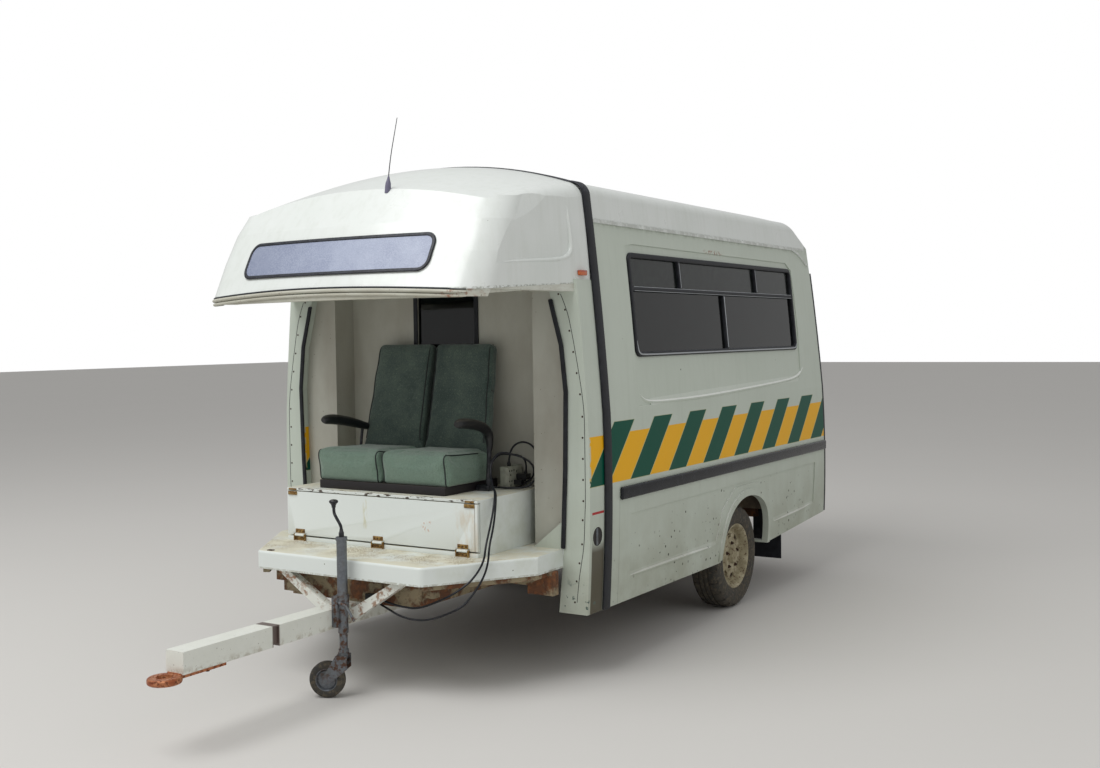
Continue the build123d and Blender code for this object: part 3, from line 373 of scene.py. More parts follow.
# Materials

def add(tree, kind, settings=(), **links):
    """Add a node with its settings; links name input sockets and give a value or an output socket."""
    node = tree.nodes.new(kind)
    for name, value in dict(settings).items():
        setattr(node, name, value)
    for name, value in links.items():
        socket = node.inputs[int(name[1:])] if name[0] == "i" and name[1:].isdigit() else node.inputs[
            name.replace("_", " ")]
        if isinstance(value, bpy.types.NodeSocket):
            tree.links.new(value, socket)
        else:
            socket.default_value = value
    return node


def material(name, **settings):
    """A node material with its shader's own settings, and Object coordinates to draw on it."""
    made = bpy.data.materials.new(name)
    made.use_nodes = True
    tree = made.node_tree
    tree.nodes.clear()
    shader = add(tree, "ShaderNodeBsdfPrincipled", **settings)
    add(tree, "ShaderNodeOutputMaterial", Surface=shader.outputs[0])
    at = add(tree, "ShaderNodeTexCoord").outputs["Object"]
    return made, tree, shader, at


def coats(tree, base, *layers):
    """Lay colours over a base in turn, each through its mask."""
    for mask, over in layers:
        base = add(tree, "ShaderNodeMix", {"data_type": "RGBA"}, i0=mask, i6=base, i7=over).outputs[2]
    return base


def overlap(tree, *masks):
    """Mask of what lies in all the masks; a number thins it."""
    found = masks[0]
    for mask in masks[1:]:
        found = add(tree, "ShaderNodeMath", {"operation": "MULTIPLY"}, i0=found, i1=mask).outputs[0]
    return found


def band(tree, value, low, high, soft=0.0008):
    """Mask of where a value lies between two limits."""
    rise = add(tree, "ShaderNodeMapRange", Value=value, From_Min=low - soft, From_Max=low + soft)
    fall = add(tree, "ShaderNodeMapRange", Value=value, From_Min=high - soft, From_Max=high + soft,
               To_Min=1.0, To_Max=0.0)
    return overlap(tree, rise.outputs[0], fall.outputs[0])


def patches(tree, at, width, over, soft=0.06, stretch=(1, 1, 1), detail=5):
    """Mask of irregular patches about width metres across, where a noise rises over a level."""
    placed = add(tree, "ShaderNodeMapping", Vector=at, Scale=stretch).outputs[0]
    noise = add(tree, "ShaderNodeTexNoise", Vector=placed, Scale=1 / width, Detail=detail, Roughness=0.6)
    return add(tree, "ShaderNodeMapRange", Value=noise.outputs[0], From_Min=over - soft,
               From_Max=over + soft).outputs[0]


def specks(tree, at, spacing, width, share):
    """Mask of round specks up to width metres across, in a share of cells that are spacing apart."""
    cells = add(tree, "ShaderNodeTexVoronoi", Vector=at, Scale=1 / spacing)
    chance = add(tree, "ShaderNodeSeparateColor", Color=cells.outputs["Color"]).outputs
    there = add(tree, "ShaderNodeMath", {"operation": "LESS_THAN"}, i0=chance[0], i1=share).outputs[0]
    reach = add(tree, "ShaderNodeMath", {"operation": "MULTIPLY"}, i0=chance[1],
                i1=width / 2 / spacing).outputs[0]
    near = add(tree, "ShaderNodeMath", {"operation": "LESS_THAN"}, i0=cells.outputs["Distance"], i1=reach)
    return overlap(tree, there, near.outputs[0])


def dull(tree, shader, mask, clean, dirty):
    """Roughness from clean to dirty through a mask."""
    spread = add(tree, "ShaderNodeMapRange", Value=mask, To_Min=clean, To_Max=dirty)
    tree.links.new(spread.outputs[0], shader.inputs["Roughness"])


def raise_by(tree, shader, *heights):
    """Raise the surface by patterns, each with its height in metres."""
    normal = None
    for pattern, height in heights:
        bump = add(tree, "ShaderNodeBump", Height=pattern, Distance=height)
        if normal:
            tree.links.new(normal, bump.inputs["Normal"])
        normal = bump.outputs[0]
    tree.links.new(normal, shader.inputs["Normal"])


def paint_with(tree, shader, socket):
    """Give the shader its colour."""
    tree.links.new(socket, shader.inputs["Base Color"])


def facing(tree, axis, least):
    """Mask of the faces that look along an axis, 0 to 2, or 3 for away from the middle, both ways across."""
    coordinates = add(tree, "ShaderNodeTexCoord").outputs
    value = add(tree, "ShaderNodeSeparateXYZ", Vector=coordinates["Normal"]).outputs[axis % 3]
    if axis == 3:
        across = add(tree, "ShaderNodeSeparateXYZ", Vector=coordinates["Object"]).outputs[0]
        value = add(tree, "ShaderNodeMath", {"operation": "MULTIPLY"}, i0=value, i1=across).outputs[0]
    return add(tree, "ShaderNodeMapRange", Value=value, From_Min=least, From_Max=least + 0.1).outputs[0]


def coach_paint():
    """Two-pack paint sprayed on pressed steel: an even half gloss gone chalky, its stripes in cut vinyl."""
    made, tree, shader, at = material("sprayed_two_pack_paint_on_pressed_steel", Specular_IOR_Level=0.16)
    y, z = add(tree, "ShaderNodeSeparateXYZ", Vector=at).outputs[1:3]
    # the stripes are on the outside, and go round the front edge of the pillars
    inside = add(tree, "ShaderNodeMath", {"operation": "SUBTRACT"}, i0=1.0,
                 i1=facing(tree, 3, -0.6)).outputs[0]
    wrapped = overlap(tree, inside, band(tree, y, -3.0, SEAM - 0.09, 0.01))
    side = add(tree, "ShaderNodeMath", {"operation": "MAXIMUM"}, i0=facing(tree, 3, 0.5),
               i1=wrapped).outputs[0]
    # the bars lean forward on their way down
    drop = add(tree, "ShaderNodeMath", {"operation": "MULTIPLY_ADD"}, i0=z, i1=-BAR_LEAN,
               i2=BAR_LEAN * BARS_TOP - 0.084 - SEAM).outputs[0]
    along = add(tree, "ShaderNodeMath", {"operation": "ADD"}, i0=drop, i1=y).outputs[0]
    turn = add(tree, "ShaderNodeMath", {"operation": "DIVIDE"}, i0=along, i1=BAR_PITCH).outputs[0]
    started = add(tree, "ShaderNodeMath", {"operation": "GREATER_THAN"}, i0=turn, i1=-0.013).outputs[0]
    share = add(tree, "ShaderNodeMath", {"operation": "FRACT"},
                i0=add(tree, "ShaderNodeMath", {"operation": "ADD"}, i0=turn, i1=0.03).outputs[0]).outputs[0]
    flaked = overlap(tree, band(tree, y, SEAM - 0.40, SEAM - 0.158, 0.006),
                     patches(tree, at, 0.030, 0.47, 0.02))
    whole = add(tree, "ShaderNodeMath", {"operation": "SUBTRACT"}, i0=1.0, i1=flaked).outputs[0]
    bars = overlap(tree, side, whole, started, band(tree, z, STRIPE_FOOT, BARS_TOP),
                   band(tree, share, 0.030, 0.512, 0.002))
    edges = overlap(tree, side, whole, started, band(tree, z, 0.940, 1.244),
                    band(tree, share, 0.016, 0.526, 0.002))
    yellow = overlap(tree, side, whole, band(tree, z, STRIPE_FOOT, YELLOW_TOP))
    red = overlap(tree, side, band(tree, z, 0.808, 0.820), band(tree, y, SEAM - 0.150, SEAM - 0.036))
    # road dirt: a film low down, splashes and specks, and grime that has run from the gutter
    low = add(tree, "ShaderNodeMapRange", Value=z, From_Min=0.95, From_Max=0.34).outputs[0]
    film = overlap(tree, low, patches(tree, at, 0.22, 0.40, 0.20), 0.50)
    splash = overlap(tree, side, band(tree, z, 0.32, 0.86, 0.02), patches(tree, at, 0.30, 0.52, 0.08),
                     specks(tree, at, 0.034, 0.017, 0.55))
    dots = overlap(tree, side, specks(tree, at, 0.085, 0.012, 0.20))
    runs = overlap(tree, patches(tree, at, 0.030, 0.60, 0.10, (1, 1, 0.07)), 0.06)
    grime = overlap(tree, band(tree, z, 2.215, 2.26, 0.012), patches(tree, at, 0.05, 0.50, 0.12), 0.40)
    above = overlap(tree, band(tree, z, 2.135, 2.155, 0.006), band(tree, y, SEAM + 1.33, SEAM + 1.56, 0.03),
                    patches(tree, at, 0.016, 0.55, 0.03))
    chalk = overlap(tree, patches(tree, at, 0.55, 0.50, 0.18), 0.35)
    # the recess below the filler, darkened as painted shade, and the dark line of the panel seam
    sill = overlap(tree, side, band(tree, y, SEAM - 0.150, SEAM - 0.034, 0.004),
                   band(tree, z, 0.30, 0.655, 0.03), 0.92)
    crease = overlap(tree, side, band(tree, y, SEAM + 0.1235, SEAM + 0.1262), band(tree, z, 0.33, 0.850),
                     0.55)
    foot = overlap(tree, band(tree, z, 0.30, 0.46, 0.05), band(tree, y, SEAM - 0.40, SEAM - 0.10, 0.02),
                   patches(tree, at, 0.035, 0.63, 0.02))
    # upper faces of the pressed ledges, painted lighter as a painted highlight
    ledge_highlight = overlap(tree, facing(tree, 2, 0.22), band(tree, y, SEAM + 0.13, 4.0), 0.85)
    base = colour("coach_paint")
    colours = coats(tree, base, (chalk, linear("#B9C3B6")), (ledge_highlight, linear("#F4F6F2")),
                    (runs, linear("#8C927E")), (edges, linear("#B7BE9C")), (yellow, colour("stripe_yellow")),
                    (overlap(tree, edges, yellow), linear("#C3C08A")), (bars, colour("stripe_green")),
                    (red, linear("#B3202C")), (film, linear("#8F8D78")), (sill, linear("#50493A")),
                    (crease, linear("#4A4C41")), (grime, linear("#5C6350")),
                    (above, colour("rust")), (foot, linear("#5B6A62")), (splash, linear("#3D3C30")),
                    (dots, linear("#37382E")))
    paint_with(tree, shader, colours)
    dull(tree, shader, overlap(tree, film, 2.0), 0.34, 0.62)
    raise_by(tree, shader, (patches(tree, at, 0.35, 0.5, 0.5, detail=1), 0.0022),
             (patches(tree, at, 0.003, 0.5, 0.5, detail=2), 0.00003))
    return made


def gel_coat():
    """Gel coat over laid-up glass fibre: a deep white gloss, faintly wavy, with green-grey weathering."""
    made, tree, shader, at = material("gel_coat_on_moulded_glass_fibre", Coat_Weight=0.25,
                                      Coat_Roughness=0.12)
    y, z = add(tree, "ShaderNodeSeparateXYZ", Vector=at).outputs[1:3]
    # height above the falling rim
    level = add(tree, "ShaderNodeMath", {"operation": "MULTIPLY_ADD"}, i0=y, i1=-RIM_FALL, i2=z).outputs[0]
    rim = overlap(tree, band(tree, level, 1.90, 1.9635, 0.003), band(tree, y, -2.5, SEAM - 0.03),
                  patches(tree, at, 0.018, 0.52, 0.06, (1, 1, 2)), 0.6)
    weathered = overlap(tree, patches(tree, at, 0.40, 0.50, 0.18), 0.30)
    runs = overlap(tree, patches(tree, at, 0.040, 0.60, 0.12, (1, 1, 0.10)), 0.12)
    gutter = overlap(tree, band(tree, z, 2.10, 2.247, 0.004), facing(tree, 3, 0.3),
                     band(tree, y, SEAM + 0.03, 4.0), patches(tree, at, 0.040, 0.44, 0.12), 0.40)
    dots = specks(tree, at, 0.110, 0.008, 0.14)
    colours = coats(tree, colour("gel_coat"), (weathered, linear("#CBD3CB")), (runs, linear("#A9AE9B")),
                    (gutter, linear("#6B6F5C")), (rim, linear("#6D7361")), (dots, linear("#6A6858")))
    paint_with(tree, shader, colours)
    dull(tree, shader, overlap(tree, weathered, 2.5), 0.26, 0.42)
    raise_by(tree, shader, (patches(tree, at, 0.28, 0.5, 0.5, detail=1), 0.0025),
             (patches(tree, at, 0.004, 0.5, 0.5, detail=2), 0.00003))
    return made


def board_paint():
    """Gloss paint brushed on plywood: white brush marks, beige dirt where it lies flat, rust at fittings."""
    made, tree, shader, at = material("brushed_gloss_paint_on_plywood")
    x, y, z = add(tree, "ShaderNodeSeparateXYZ", Vector=at).outputs
    flat = facing(tree, 2, 0.80)
    bed = overlap(tree, flat, patches(tree, at, 0.16, 0.42, 0.12), 0.62)
    crumbs = overlap(tree, flat, band(tree, y, SEAM - 0.80, SEAM - 0.56, 0.05),
                     patches(tree, at, 0.13, 0.47, 0.08), patches(tree, at, 0.006, 0.53, 0.02))
    brim = overlap(tree, band(tree, z, 0.889, 0.9075, 0.001), band(tree, y, SEAM - 0.60, SEAM - 0.540),
                   patches(tree, at, 0.020, 0.57, 0.02, (0.45, 1, 2)))
    front = band(tree, y, SEAM - 0.575, SEAM - 0.560)
    corner = overlap(tree, front, band(tree, x, 0.48, 0.62, 0.03), band(tree, z, 0.63, 0.86, 0.03),
                     patches(tree, at, 0.030, 0.52, 0.10, (1, 1, 0.35)), 0.35)
    stain = overlap(tree, front, band(tree, x, -0.092, -0.070, 0.006), band(tree, z, 0.735, 0.868, 0.012),
                    patches(tree, at, 0.012, 0.50, 0.10, (1, 1, 0.3)), 0.6)
    scratch = overlap(tree, front, band(tree, x, 0.275, 0.325, 0.008), band(tree, z, 0.742, 0.790, 0.008),
                      patches(tree, at, 0.010, 0.58, 0.03, (1, 1, 0.5)), 0.8)
    edge = overlap(tree, band(tree, z, 0.545, 0.556, 0.002), patches(tree, at, 0.02, 0.46, 0.08), 0.5)
    sides = overlap(tree, facing(tree, 3, 0.4), band(tree, z, 0.56, 0.90, 0.03),
                    patches(tree, at, 0.10, 0.52, 0.12), 0.28)
    dots = specks(tree, at, 0.075, 0.007, 0.18)
    joint = overlap(tree, front, band(tree, x, 0.583, 0.5865, 0.0008), band(tree, z, 0.66, 0.89), 0.7)
    colours = coats(tree, colour("board_paint"), (bed, linear("#CFC5A4")), (sides, linear("#B6BBA4")),
                    (edge, linear("#8E8A72")), (stain, linear("#BDB684")), (corner, linear("#C2A472")),
                    (scratch, linear("#C0793F")), (joint, linear("#6B5340")), (brim, linear("#4B3F35")),
                    (crumbs, linear("#8A7348")), (dots, linear("#5F5A48")))
    paint_with(tree, shader, colours)
    dull(tree, shader, bed, 0.33, 0.70)
    raise_by(tree, shader, (patches(tree, at, 0.004, 0.5, 0.5, (0.12, 1, 1), 3), 0.00012),
             (patches(tree, at, 0.20, 0.5, 0.5, detail=1), 0.0016), (crumbs, 0.0006))
    return made


def lining_board():
    """Melamine-faced board gone dull: grey cream with brown specks, darker where hands and damp have been."""
    made, tree, shader, at = material("stained_melamine_faced_board")
    stained = overlap(tree, patches(tree, at, 0.25, 0.50, 0.14, (1, 1, 0.5)), 0.45)
    dots = specks(tree, at, 0.020, 0.005, 0.25)
    colours = coats(tree, colour("lining"), (stained, linear("#978F80")), (dots, linear("#7C7262")))
    paint_with(tree, shader, colours)
    dull(tree, shader, stained, 0.5, 0.75)
    raise_by(tree, shader, (patches(tree, at, 0.003, 0.5, 0.5, detail=3), 0.0001))
    return made


def header_paint():
    """Cream paint on a folded steel rail: satin, with dark lines of damp and rust from the joints."""
    made, tree, shader, at = material("cream_paint_on_folded_steel")
    x = add(tree, "ShaderNodeSeparateXYZ", Vector=at).outputs[0]
    damp = overlap(tree, patches(tree, at, 0.06, 0.50, 0.10, (0.4, 0.4, 2)), 0.30)
    bleed = overlap(tree, band(tree, x, 0.66, 0.80, 0.04), patches(tree, at, 0.022, 0.57, 0.05), 0.8)
    dots = overlap(tree, patches(tree, at, 0.010, 0.66, 0.02), 0.8)
    white = overlap(tree, band(tree, x, 0.80, 1.2, 0.03), 0.8)
    colours = coats(tree, linear("#C3C3B6"), (white, linear("#DADDD4")), (damp, linear("#9A937D")),
                    (bleed, colour("rust")), (dots, linear("#6B4A2C")))
    paint_with(tree, shader, colours)
    dull(tree, shader, damp, 0.45, 0.75)
    raise_by(tree, shader, (patches(tree, at, 0.006, 0.55, 0.2), 0.0004))
    return made


def rubber(name, gloss, bloom_and_highlight=0.35):
    """EPDM rubber, extruded: bluish black with a soft sheen, grey bloom in patches, and its upper side
    lighter, partly bloom and partly a painted highlight.
    """
    made, tree, shader, at = material(name, Specular_IOR_Level=0.35)
    up = facing(tree, 2, 0.25)
    dusty = overlap(tree, patches(tree, at, 0.05, 0.50, 0.12), bloom_and_highlight)
    # upper faces lighter in patches: partly grey bloom, partly a painted highlight
    worn = overlap(tree, up, patches(tree, at, 0.012, 0.50, 0.10), bloom_and_highlight)
    colours = coats(tree, colour("rubber"), (dusty, linear("#33363D")), (worn, linear("#4D515C")))
    paint_with(tree, shader, colours)
    dull(tree, shader, dusty, gloss, gloss + 0.25)
    raise_by(tree, shader, (patches(tree, at, 0.010, 0.5, 0.3, detail=3), 0.0004))
    return made


def tinted_glass():
    """Toughened float glass with a dark tint: mirror-smooth, with a grey-green painted reflection in patches
    on its upper sliding panes, which are rougher there.
    """
    made, tree, shader, at = material("tinted_toughened_glass", IOR=1.52, Transmission_Weight=0.80,
                                      Specular_IOR_Level=0.20)
    y, z = add(tree, "ShaderNodeSeparateXYZ", Vector=at).outputs[1:3]
    # grey-green on the upper sliding panes: a painted reflection
    film = overlap(tree, band(tree, z, 1.915, 2.10), band(tree, y, SEAM + 0.3, 4.0),
                   patches(tree, at, 0.06, 0.45, 0.2), 0.35)
    wiped = overlap(tree, patches(tree, at, 0.15, 0.5, 0.2), 0.06)
    colours = coats(tree, linear("#121818"), (film, linear("#5A6A62")), (wiped, linear("#4C5450")))
    paint_with(tree, shader, colours)
    dull(tree, shader, film, 0.05, 0.5)
    raise_by(tree, shader, (patches(tree, at, 0.30, 0.5, 0.5, detail=0), 0.0008))
    return made


def moquette(name, cloth):
    """Wool moquette, woven: a dense pile with a soft edge sheen, flecked light and dark."""
    made, tree, shader, at = material(name, Roughness=0.92, Sheen_Weight=0.35, Sheen_Roughness=0.45)
    # threads are 1.2 mm apart; drawn 4 and 6 mm apart so that they show
    warp = add(tree, "ShaderNodeTexWave", {"bands_direction": "X"}, Vector=at, Scale=2 * pi / 20 / 0.004,
               Distortion=0.6, Detail=1)
    weft = add(tree, "ShaderNodeTexWave", {"bands_direction": "DIAGONAL"}, Vector=at,
               Scale=2 * pi / 20 / 0.006, Distortion=0.8, Detail=1)
    fleck = patches(tree, at, 0.004, 0.56, 0.05, detail=3)
    pale = patches(tree, at, 0.005, 0.60, 0.04, (1.3, 1.1, 0.9), 3)
    worn = patches(tree, at, 0.13, 0.50, 0.16)
    weave = overlap(tree, warp.outputs[1], weft.outputs[1])
    colours = coats(tree, colour(cloth), (overlap(tree, worn, 0.22), linear("#8A9C8C")),
                    (overlap(tree, weave, 0.22), linear("#26352F")),
                    (overlap(tree, fleck, 0.40), linear("#25332E")),
                    (overlap(tree, pale, 0.30), linear("#95A696")))
    paint_with(tree, shader, colours)
    raise_by(tree, shader, (weave, 0.0006), (patches(tree, at, 0.003, 0.5, 0.3), 0.0005))
    return made


def piping_vinyl():
    """Vinyl welt, extruded over cord: near black with a dull shine and a fine grain."""
    made, tree, shader, at = material("extruded_vinyl_welt", Roughness=0.5)
    worn = patches(tree, at, 0.02, 0.55, 0.12)
    paint_with(tree, shader, coats(tree, linear("#141D1C"), (overlap(tree, worn, 0.4), linear("#2E3C38"))))
    raise_by(tree, shader, (patches(tree, at, 0.002, 0.5, 0.3), 0.0002))
    return made


def moulded_plastic(name, hex_colour, gloss=0.48):
    """ABS or polyurethane skin, injection moulded: an even colour with a leather grain."""
    made, tree, shader, at = material(name, IOR=1.50)
    # the grain is 1.5 mm across; drawn 3.5 mm so that it shows
    grain = add(tree, "ShaderNodeTexVoronoi", {"feature": "DISTANCE_TO_EDGE"}, Vector=at, Scale=1 / 0.0035)
    dusty = overlap(tree, facing(tree, 2, 0.5), patches(tree, at, 0.05, 0.46, 0.16), 0.35)
    paint_with(tree, shader, coats(tree, linear(hex_colour), (dusty, linear("#6D685C"))))
    dull(tree, shader, dusty, gloss, 0.8)
    raise_by(tree, shader, (grain.outputs[0], 0.0004))
    return made


def galvanised():
    """Hot-dip galvanised steel tube: grey metal with spangles about 9 mm across and white corrosion."""
    made, tree, shader, at = material("hot_dip_galvanised_steel", Metallic=0.85)
    z = add(tree, "ShaderNodeSeparateXYZ", Vector=at).outputs[2]
    cells = add(tree, "ShaderNodeTexVoronoi", Vector=at, Scale=1 / 0.009)
    grey = add(tree, "ShaderNodeSeparateColor", Color=cells.outputs["Color"]).outputs[0]
    corroded = patches(tree, at, 0.04, 0.54, 0.08)
    rusty = overlap(tree, band(tree, z, 0.10, 0.49, 0.04), patches(tree, at, 0.022, 0.54, 0.05), 0.85)
    colours = coats(tree, linear("#6C7076"), (overlap(tree, grey, 0.35), linear("#8F9499")),
                    (overlap(tree, corroded, 0.55), linear("#7B7D7C")), (rusty, linear("#5A3A24")))
    paint_with(tree, shader, colours)
    dull(tree, shader, corroded, 0.42, 0.68)
    raise_by(tree, shader, (corroded, 0.0003))
    return made


def rusty_frame():
    """Oil paint over mild steel section, mostly gone: cream flakes on brown rust, with no shine."""
    made, tree, shader, at = material("flaking_paint_on_mild_steel_section")
    y = add(tree, "ShaderNodeSeparateXYZ", Vector=at).outputs[1]
    forward = band(tree, y, -3.0, SEAM - 0.20, 0.10)
    paint_left = overlap(tree, forward, patches(tree, at, 0.09, 0.52, 0.05), 0.85)
    deep = patches(tree, at, 0.09, 0.50, 0.10)
    bright = patches(tree, at, 0.03, 0.56, 0.06)
    black = overlap(tree, patches(tree, at, 0.02, 0.60, 0.04), 0.7)
    colours = coats(tree, linear("#6B442A"), (deep, linear("#453023")),
                    (overlap(tree, bright, 0.5), linear("#955A2C")), (paint_left, linear("#9E9277")),
                    (overlap(tree, black, 0.6), linear("#2B211A")))
    paint_with(tree, shader, colours)
    dull(tree, shader, deep, 0.72, 0.95)
    raise_by(tree, shader, (paint_left, 0.0006), (patches(tree, at, 0.006, 0.5, 0.2), 0.0008))
    return made


def drawbar_paint():
    """Brushed white paint on a welded box beam: greenish white, spotted dark, with rust at the welds."""
    made, tree, shader, at = material("brushed_paint_on_welded_box_section")
    y, z = add(tree, "ShaderNodeSeparateXYZ", Vector=at).outputs[1:3]
    slot = band(tree, y, SEAM - 1.352, SEAM - 1.308, 0.004)
    bare = overlap(tree, slot, 0.9)
    weld = overlap(tree, band(tree, y, SEAM - 0.98, SEAM - 0.80, 0.03), patches(tree, at, 0.030, 0.57, 0.05),
                   0.8)
    nose = overlap(tree, band(tree, y, -3.0, SEAM - 1.80, 0.05), patches(tree, at, 0.014, 0.66, 0.03), 0.5)
    under = overlap(tree, band(tree, z, 0.30, 0.345, 0.012), patches(tree, at, 0.04, 0.54, 0.06), 0.4)
    chips = overlap(tree, patches(tree, at, 0.014, 0.70, 0.015), 0.8)
    grey = overlap(tree, patches(tree, at, 0.14, 0.48, 0.14), 0.18)
    strut = overlap(tree, band(tree, z, 0.47, 0.60, 0.03), patches(tree, at, 0.035, 0.58, 0.05), 0.8)
    colours = coats(tree, linear("#E4E6DE"), (grey, linear("#B9BDAE")), (under, linear("#8B7A58")),
                    (weld, linear("#8A5A32")), (strut, linear("#96602F")), (nose, linear("#4A4436")),
                    (chips, linear("#5A4632")), (bare, linear("#43221A")))
    paint_with(tree, shader, colours)
    dull(tree, shader, grey, 0.36, 0.66)
    raise_by(tree, shader, (patches(tree, at, 0.010, 0.5, 0.2), 0.0005), (chips, -0.0004))
    return made


def forged_eye():
    """Forged steel towing eye: orange rust with lighter and darker patches."""
    made, tree, shader, at = material("rusted_forged_steel", Metallic=0.45)
    bright = patches(tree, at, 0.030, 0.50, 0.10)
    deep = patches(tree, at, 0.012, 0.56, 0.05)
    colours = coats(tree, linear("#9A5330"), (overlap(tree, bright, 0.8), linear("#C98A62")),
                    (overlap(tree, deep, 0.8), linear("#5A2A18")))
    paint_with(tree, shader, colours)
    dull(tree, shader, deep, 0.38, 0.75)
    raise_by(tree, shader, (deep, -0.0006), (patches(tree, at, 0.004, 0.5, 0.2), 0.0004))
    return made


def underbody_steel():
    """Leaf spring and axle steel, rolled: a rough brown scale in two shades."""
    made, tree, shader, at = material("scaled_spring_steel", Metallic=0.3)
    scale = patches(tree, at, 0.05, 0.50, 0.10)
    paint_with(tree, shader, coats(tree, linear("#4A3526"), (scale, linear("#6B4630"))))
    dull(tree, shader, scale, 0.7, 0.9)
    raise_by(tree, shader, (scale, 0.0006))
    return made


def pressed_brass():
    """Pressed brass butt hinge: dull yellow metal, browned and spotted with rust from its screws."""
    made, tree, shader, at = material("tarnished_pressed_brass", Metallic=0.55)
    brown = patches(tree, at, 0.016, 0.50, 0.08)
    spots = patches(tree, at, 0.007, 0.60, 0.03)
    colours = coats(tree, linear("#A98A50"), (overlap(tree, brown, 0.75), linear("#6E4C2A")),
                    (spots, linear("#3A261A")))
    paint_with(tree, shader, colours)
    dull(tree, shader, brown, 0.38, 0.7)
    raise_by(tree, shader, (brown, 0.0002))
    return made


def screw_steel():
    """Steel screw heads gone brown: dark dots with a rough skin."""
    made, tree, shader, at = material("rusted_screw_steel", Metallic=0.5, Roughness=0.6)
    paint_with(tree, shader, coats(tree, linear("#2C2320"),
                                   (patches(tree, at, 0.004, 0.55, 0.1), linear("#5E3A24"))))
    raise_by(tree, shader, (patches(tree, at, 0.002, 0.5, 0.3), 0.0003))
    return made


def tyre_rubber():
    """Vulcanised tyre rubber: grey black under a brown film of dust and patches of mud."""
    made, tree, shader, at = material("vulcanised_tyre_rubber")
    dusty = patches(tree, at, 0.07, 0.44, 0.16)
    mud = patches(tree, at, 0.020, 0.56, 0.05)
    colours = coats(tree, linear("#2B2B2A"), (overlap(tree, dusty, 0.65), linear("#565045")),
                    (overlap(tree, mud, 0.5), linear("#6D6350")))
    paint_with(tree, shader, colours)
    dull(tree, shader, dusty, 0.62, 0.9)
    raise_by(tree, shader, (mud, 0.0005), (patches(tree, at, 0.003, 0.5, 0.3), 0.0003))
    return made


def wheel_paint():
    """Silver-cream stove enamel on a pressed steel wheel: dull, with brake dust and spots of rust."""
    made, tree, shader, at = material("stove_enamel_on_pressed_steel")
    dusty = patches(tree, at, 0.05, 0.46, 0.12)
    rusty = patches(tree, at, 0.016, 0.60, 0.03)
    colours = coats(tree, colour("wheel_paint"), (overlap(tree, dusty, 0.6), linear("#766C52")),
                    (overlap(tree, rusty, 0.9), linear("#5A3D26")))
    paint_with(tree, shader, colours)
    dull(tree, shader, dusty, 0.45, 0.8)
    raise_by(tree, shader, (rusty, 0.0004), (patches(tree, at, 0.008, 0.5, 0.3), 0.0003))
    return made


def sign_film():
    """Blank face of the roof sign: acrylic sheet under a grey-blue glass-bead film that sparkles."""
    made, tree, shader, at = material("glass_bead_film_on_acrylic", IOR=1.49, Roughness=0.38)
    x = add(tree, "ShaderNodeSeparateXYZ", Vector=at).outputs[0]
    # beads are 0.1 mm across; drawn 4 mm so that they show
    beads = patches(tree, at, 0.004, 0.52, 0.06, detail=2)
    cloud = patches(tree, at, 0.12, 0.50, 0.14)
    # darker towards the far side, across X: painted shade
    far = add(tree, "ShaderNodeMapRange", Value=x, From_Min=0.1, From_Max=-0.55).outputs[0]
    colours = coats(tree, linear("#8B94AD"), (overlap(tree, cloud, 0.45), linear("#A9B2C6")),
                    (overlap(tree, far, 0.55), linear("#5B6480")),
                    (overlap(tree, beads, 0.35), linear("#C4CBDA")))
    paint_with(tree, shader, colours)
    raise_by(tree, shader, (beads, 0.0001))
    return made


def lens(name, *bands):
    """Acrylic lens, injection moulded: clear depth over fine prisms, in bands by height."""
    made, tree, shader, at = material(name, IOR=1.49, Roughness=0.16, Coat_Weight=0.6, Coat_Roughness=0.06)
    z = add(tree, "ShaderNodeSeparateXYZ", Vector=at).outputs[2]
    prism = add(tree, "ShaderNodeTexWave", {"bands_direction": "Z"}, Vector=at,
                Scale=2 * pi / 20 / 0.006).outputs[1]
    dusty = overlap(tree, patches(tree, at, 0.03, 0.5, 0.12), 0.25)
    colours = linear(bands[0])
    for height, hex_colour in bands[1:]:
        above = add(tree, "ShaderNodeMath", {"operation": "GREATER_THAN"}, i0=z, i1=height).outputs[0]
        colours = coats(tree, colours, (above, linear(hex_colour)))
    paint_with(tree, shader, coats(tree, colours, (overlap(tree, prism, 0.25), linear("#3A1408")),
                                   (dusty, linear("#8B7A68"))))
    raise_by(tree, shader, (prism, 0.0005))
    return made


def plywood():
    """Floor board of faced plywood: brown, scuffed along the load space."""
    made, tree, shader, at = material("scuffed_faced_plywood")
    scuffed = patches(tree, at, 0.06, 0.50, 0.10, (1, 0.2, 1))
    paint_with(tree, shader, coats(tree, linear("#5E5347"), (overlap(tree, scuffed, 0.7), linear("#8A7B68"))))
    dull(tree, shader, scuffed, 0.5, 0.8)
    raise_by(tree, shader, (scuffed, 0.0003))
    return made


def bright_metal():
    """Extruded aluminium trim: satin silver with a brushed line along it."""
    made, tree, shader, at = material("extruded_aluminium_trim", Metallic=1.0)
    # brush lines are 0.2 mm apart; drawn 4 mm so that they show
    lines = patches(tree, at, 0.004, 0.5, 0.3, (1, 0.05, 1), 2)
    paint_with(tree, shader, coats(tree, linear("#C9CED2"), (overlap(tree, lines, 0.4), linear("#9AA0A4"))))
    dull(tree, shader, lines, 0.25, 0.45)
    raise_by(tree, shader, (lines, 0.0001))
    return made


def painted_black():
    """Black enamel on steel wire or rod: dark grey with worn spots."""
    made, tree, shader, at = material("black_enamel_on_steel", Metallic=0.2)
    worn = patches(tree, at, 0.018, 0.55, 0.06)
    paint_with(tree, shader, coats(tree, linear("#1C1D22"), (overlap(tree, worn, 0.6), linear("#4A4A4E"))))
    dull(tree, shader, worn, 0.32, 0.6)
    raise_by(tree, shader, (worn, 0.0002))
    return made


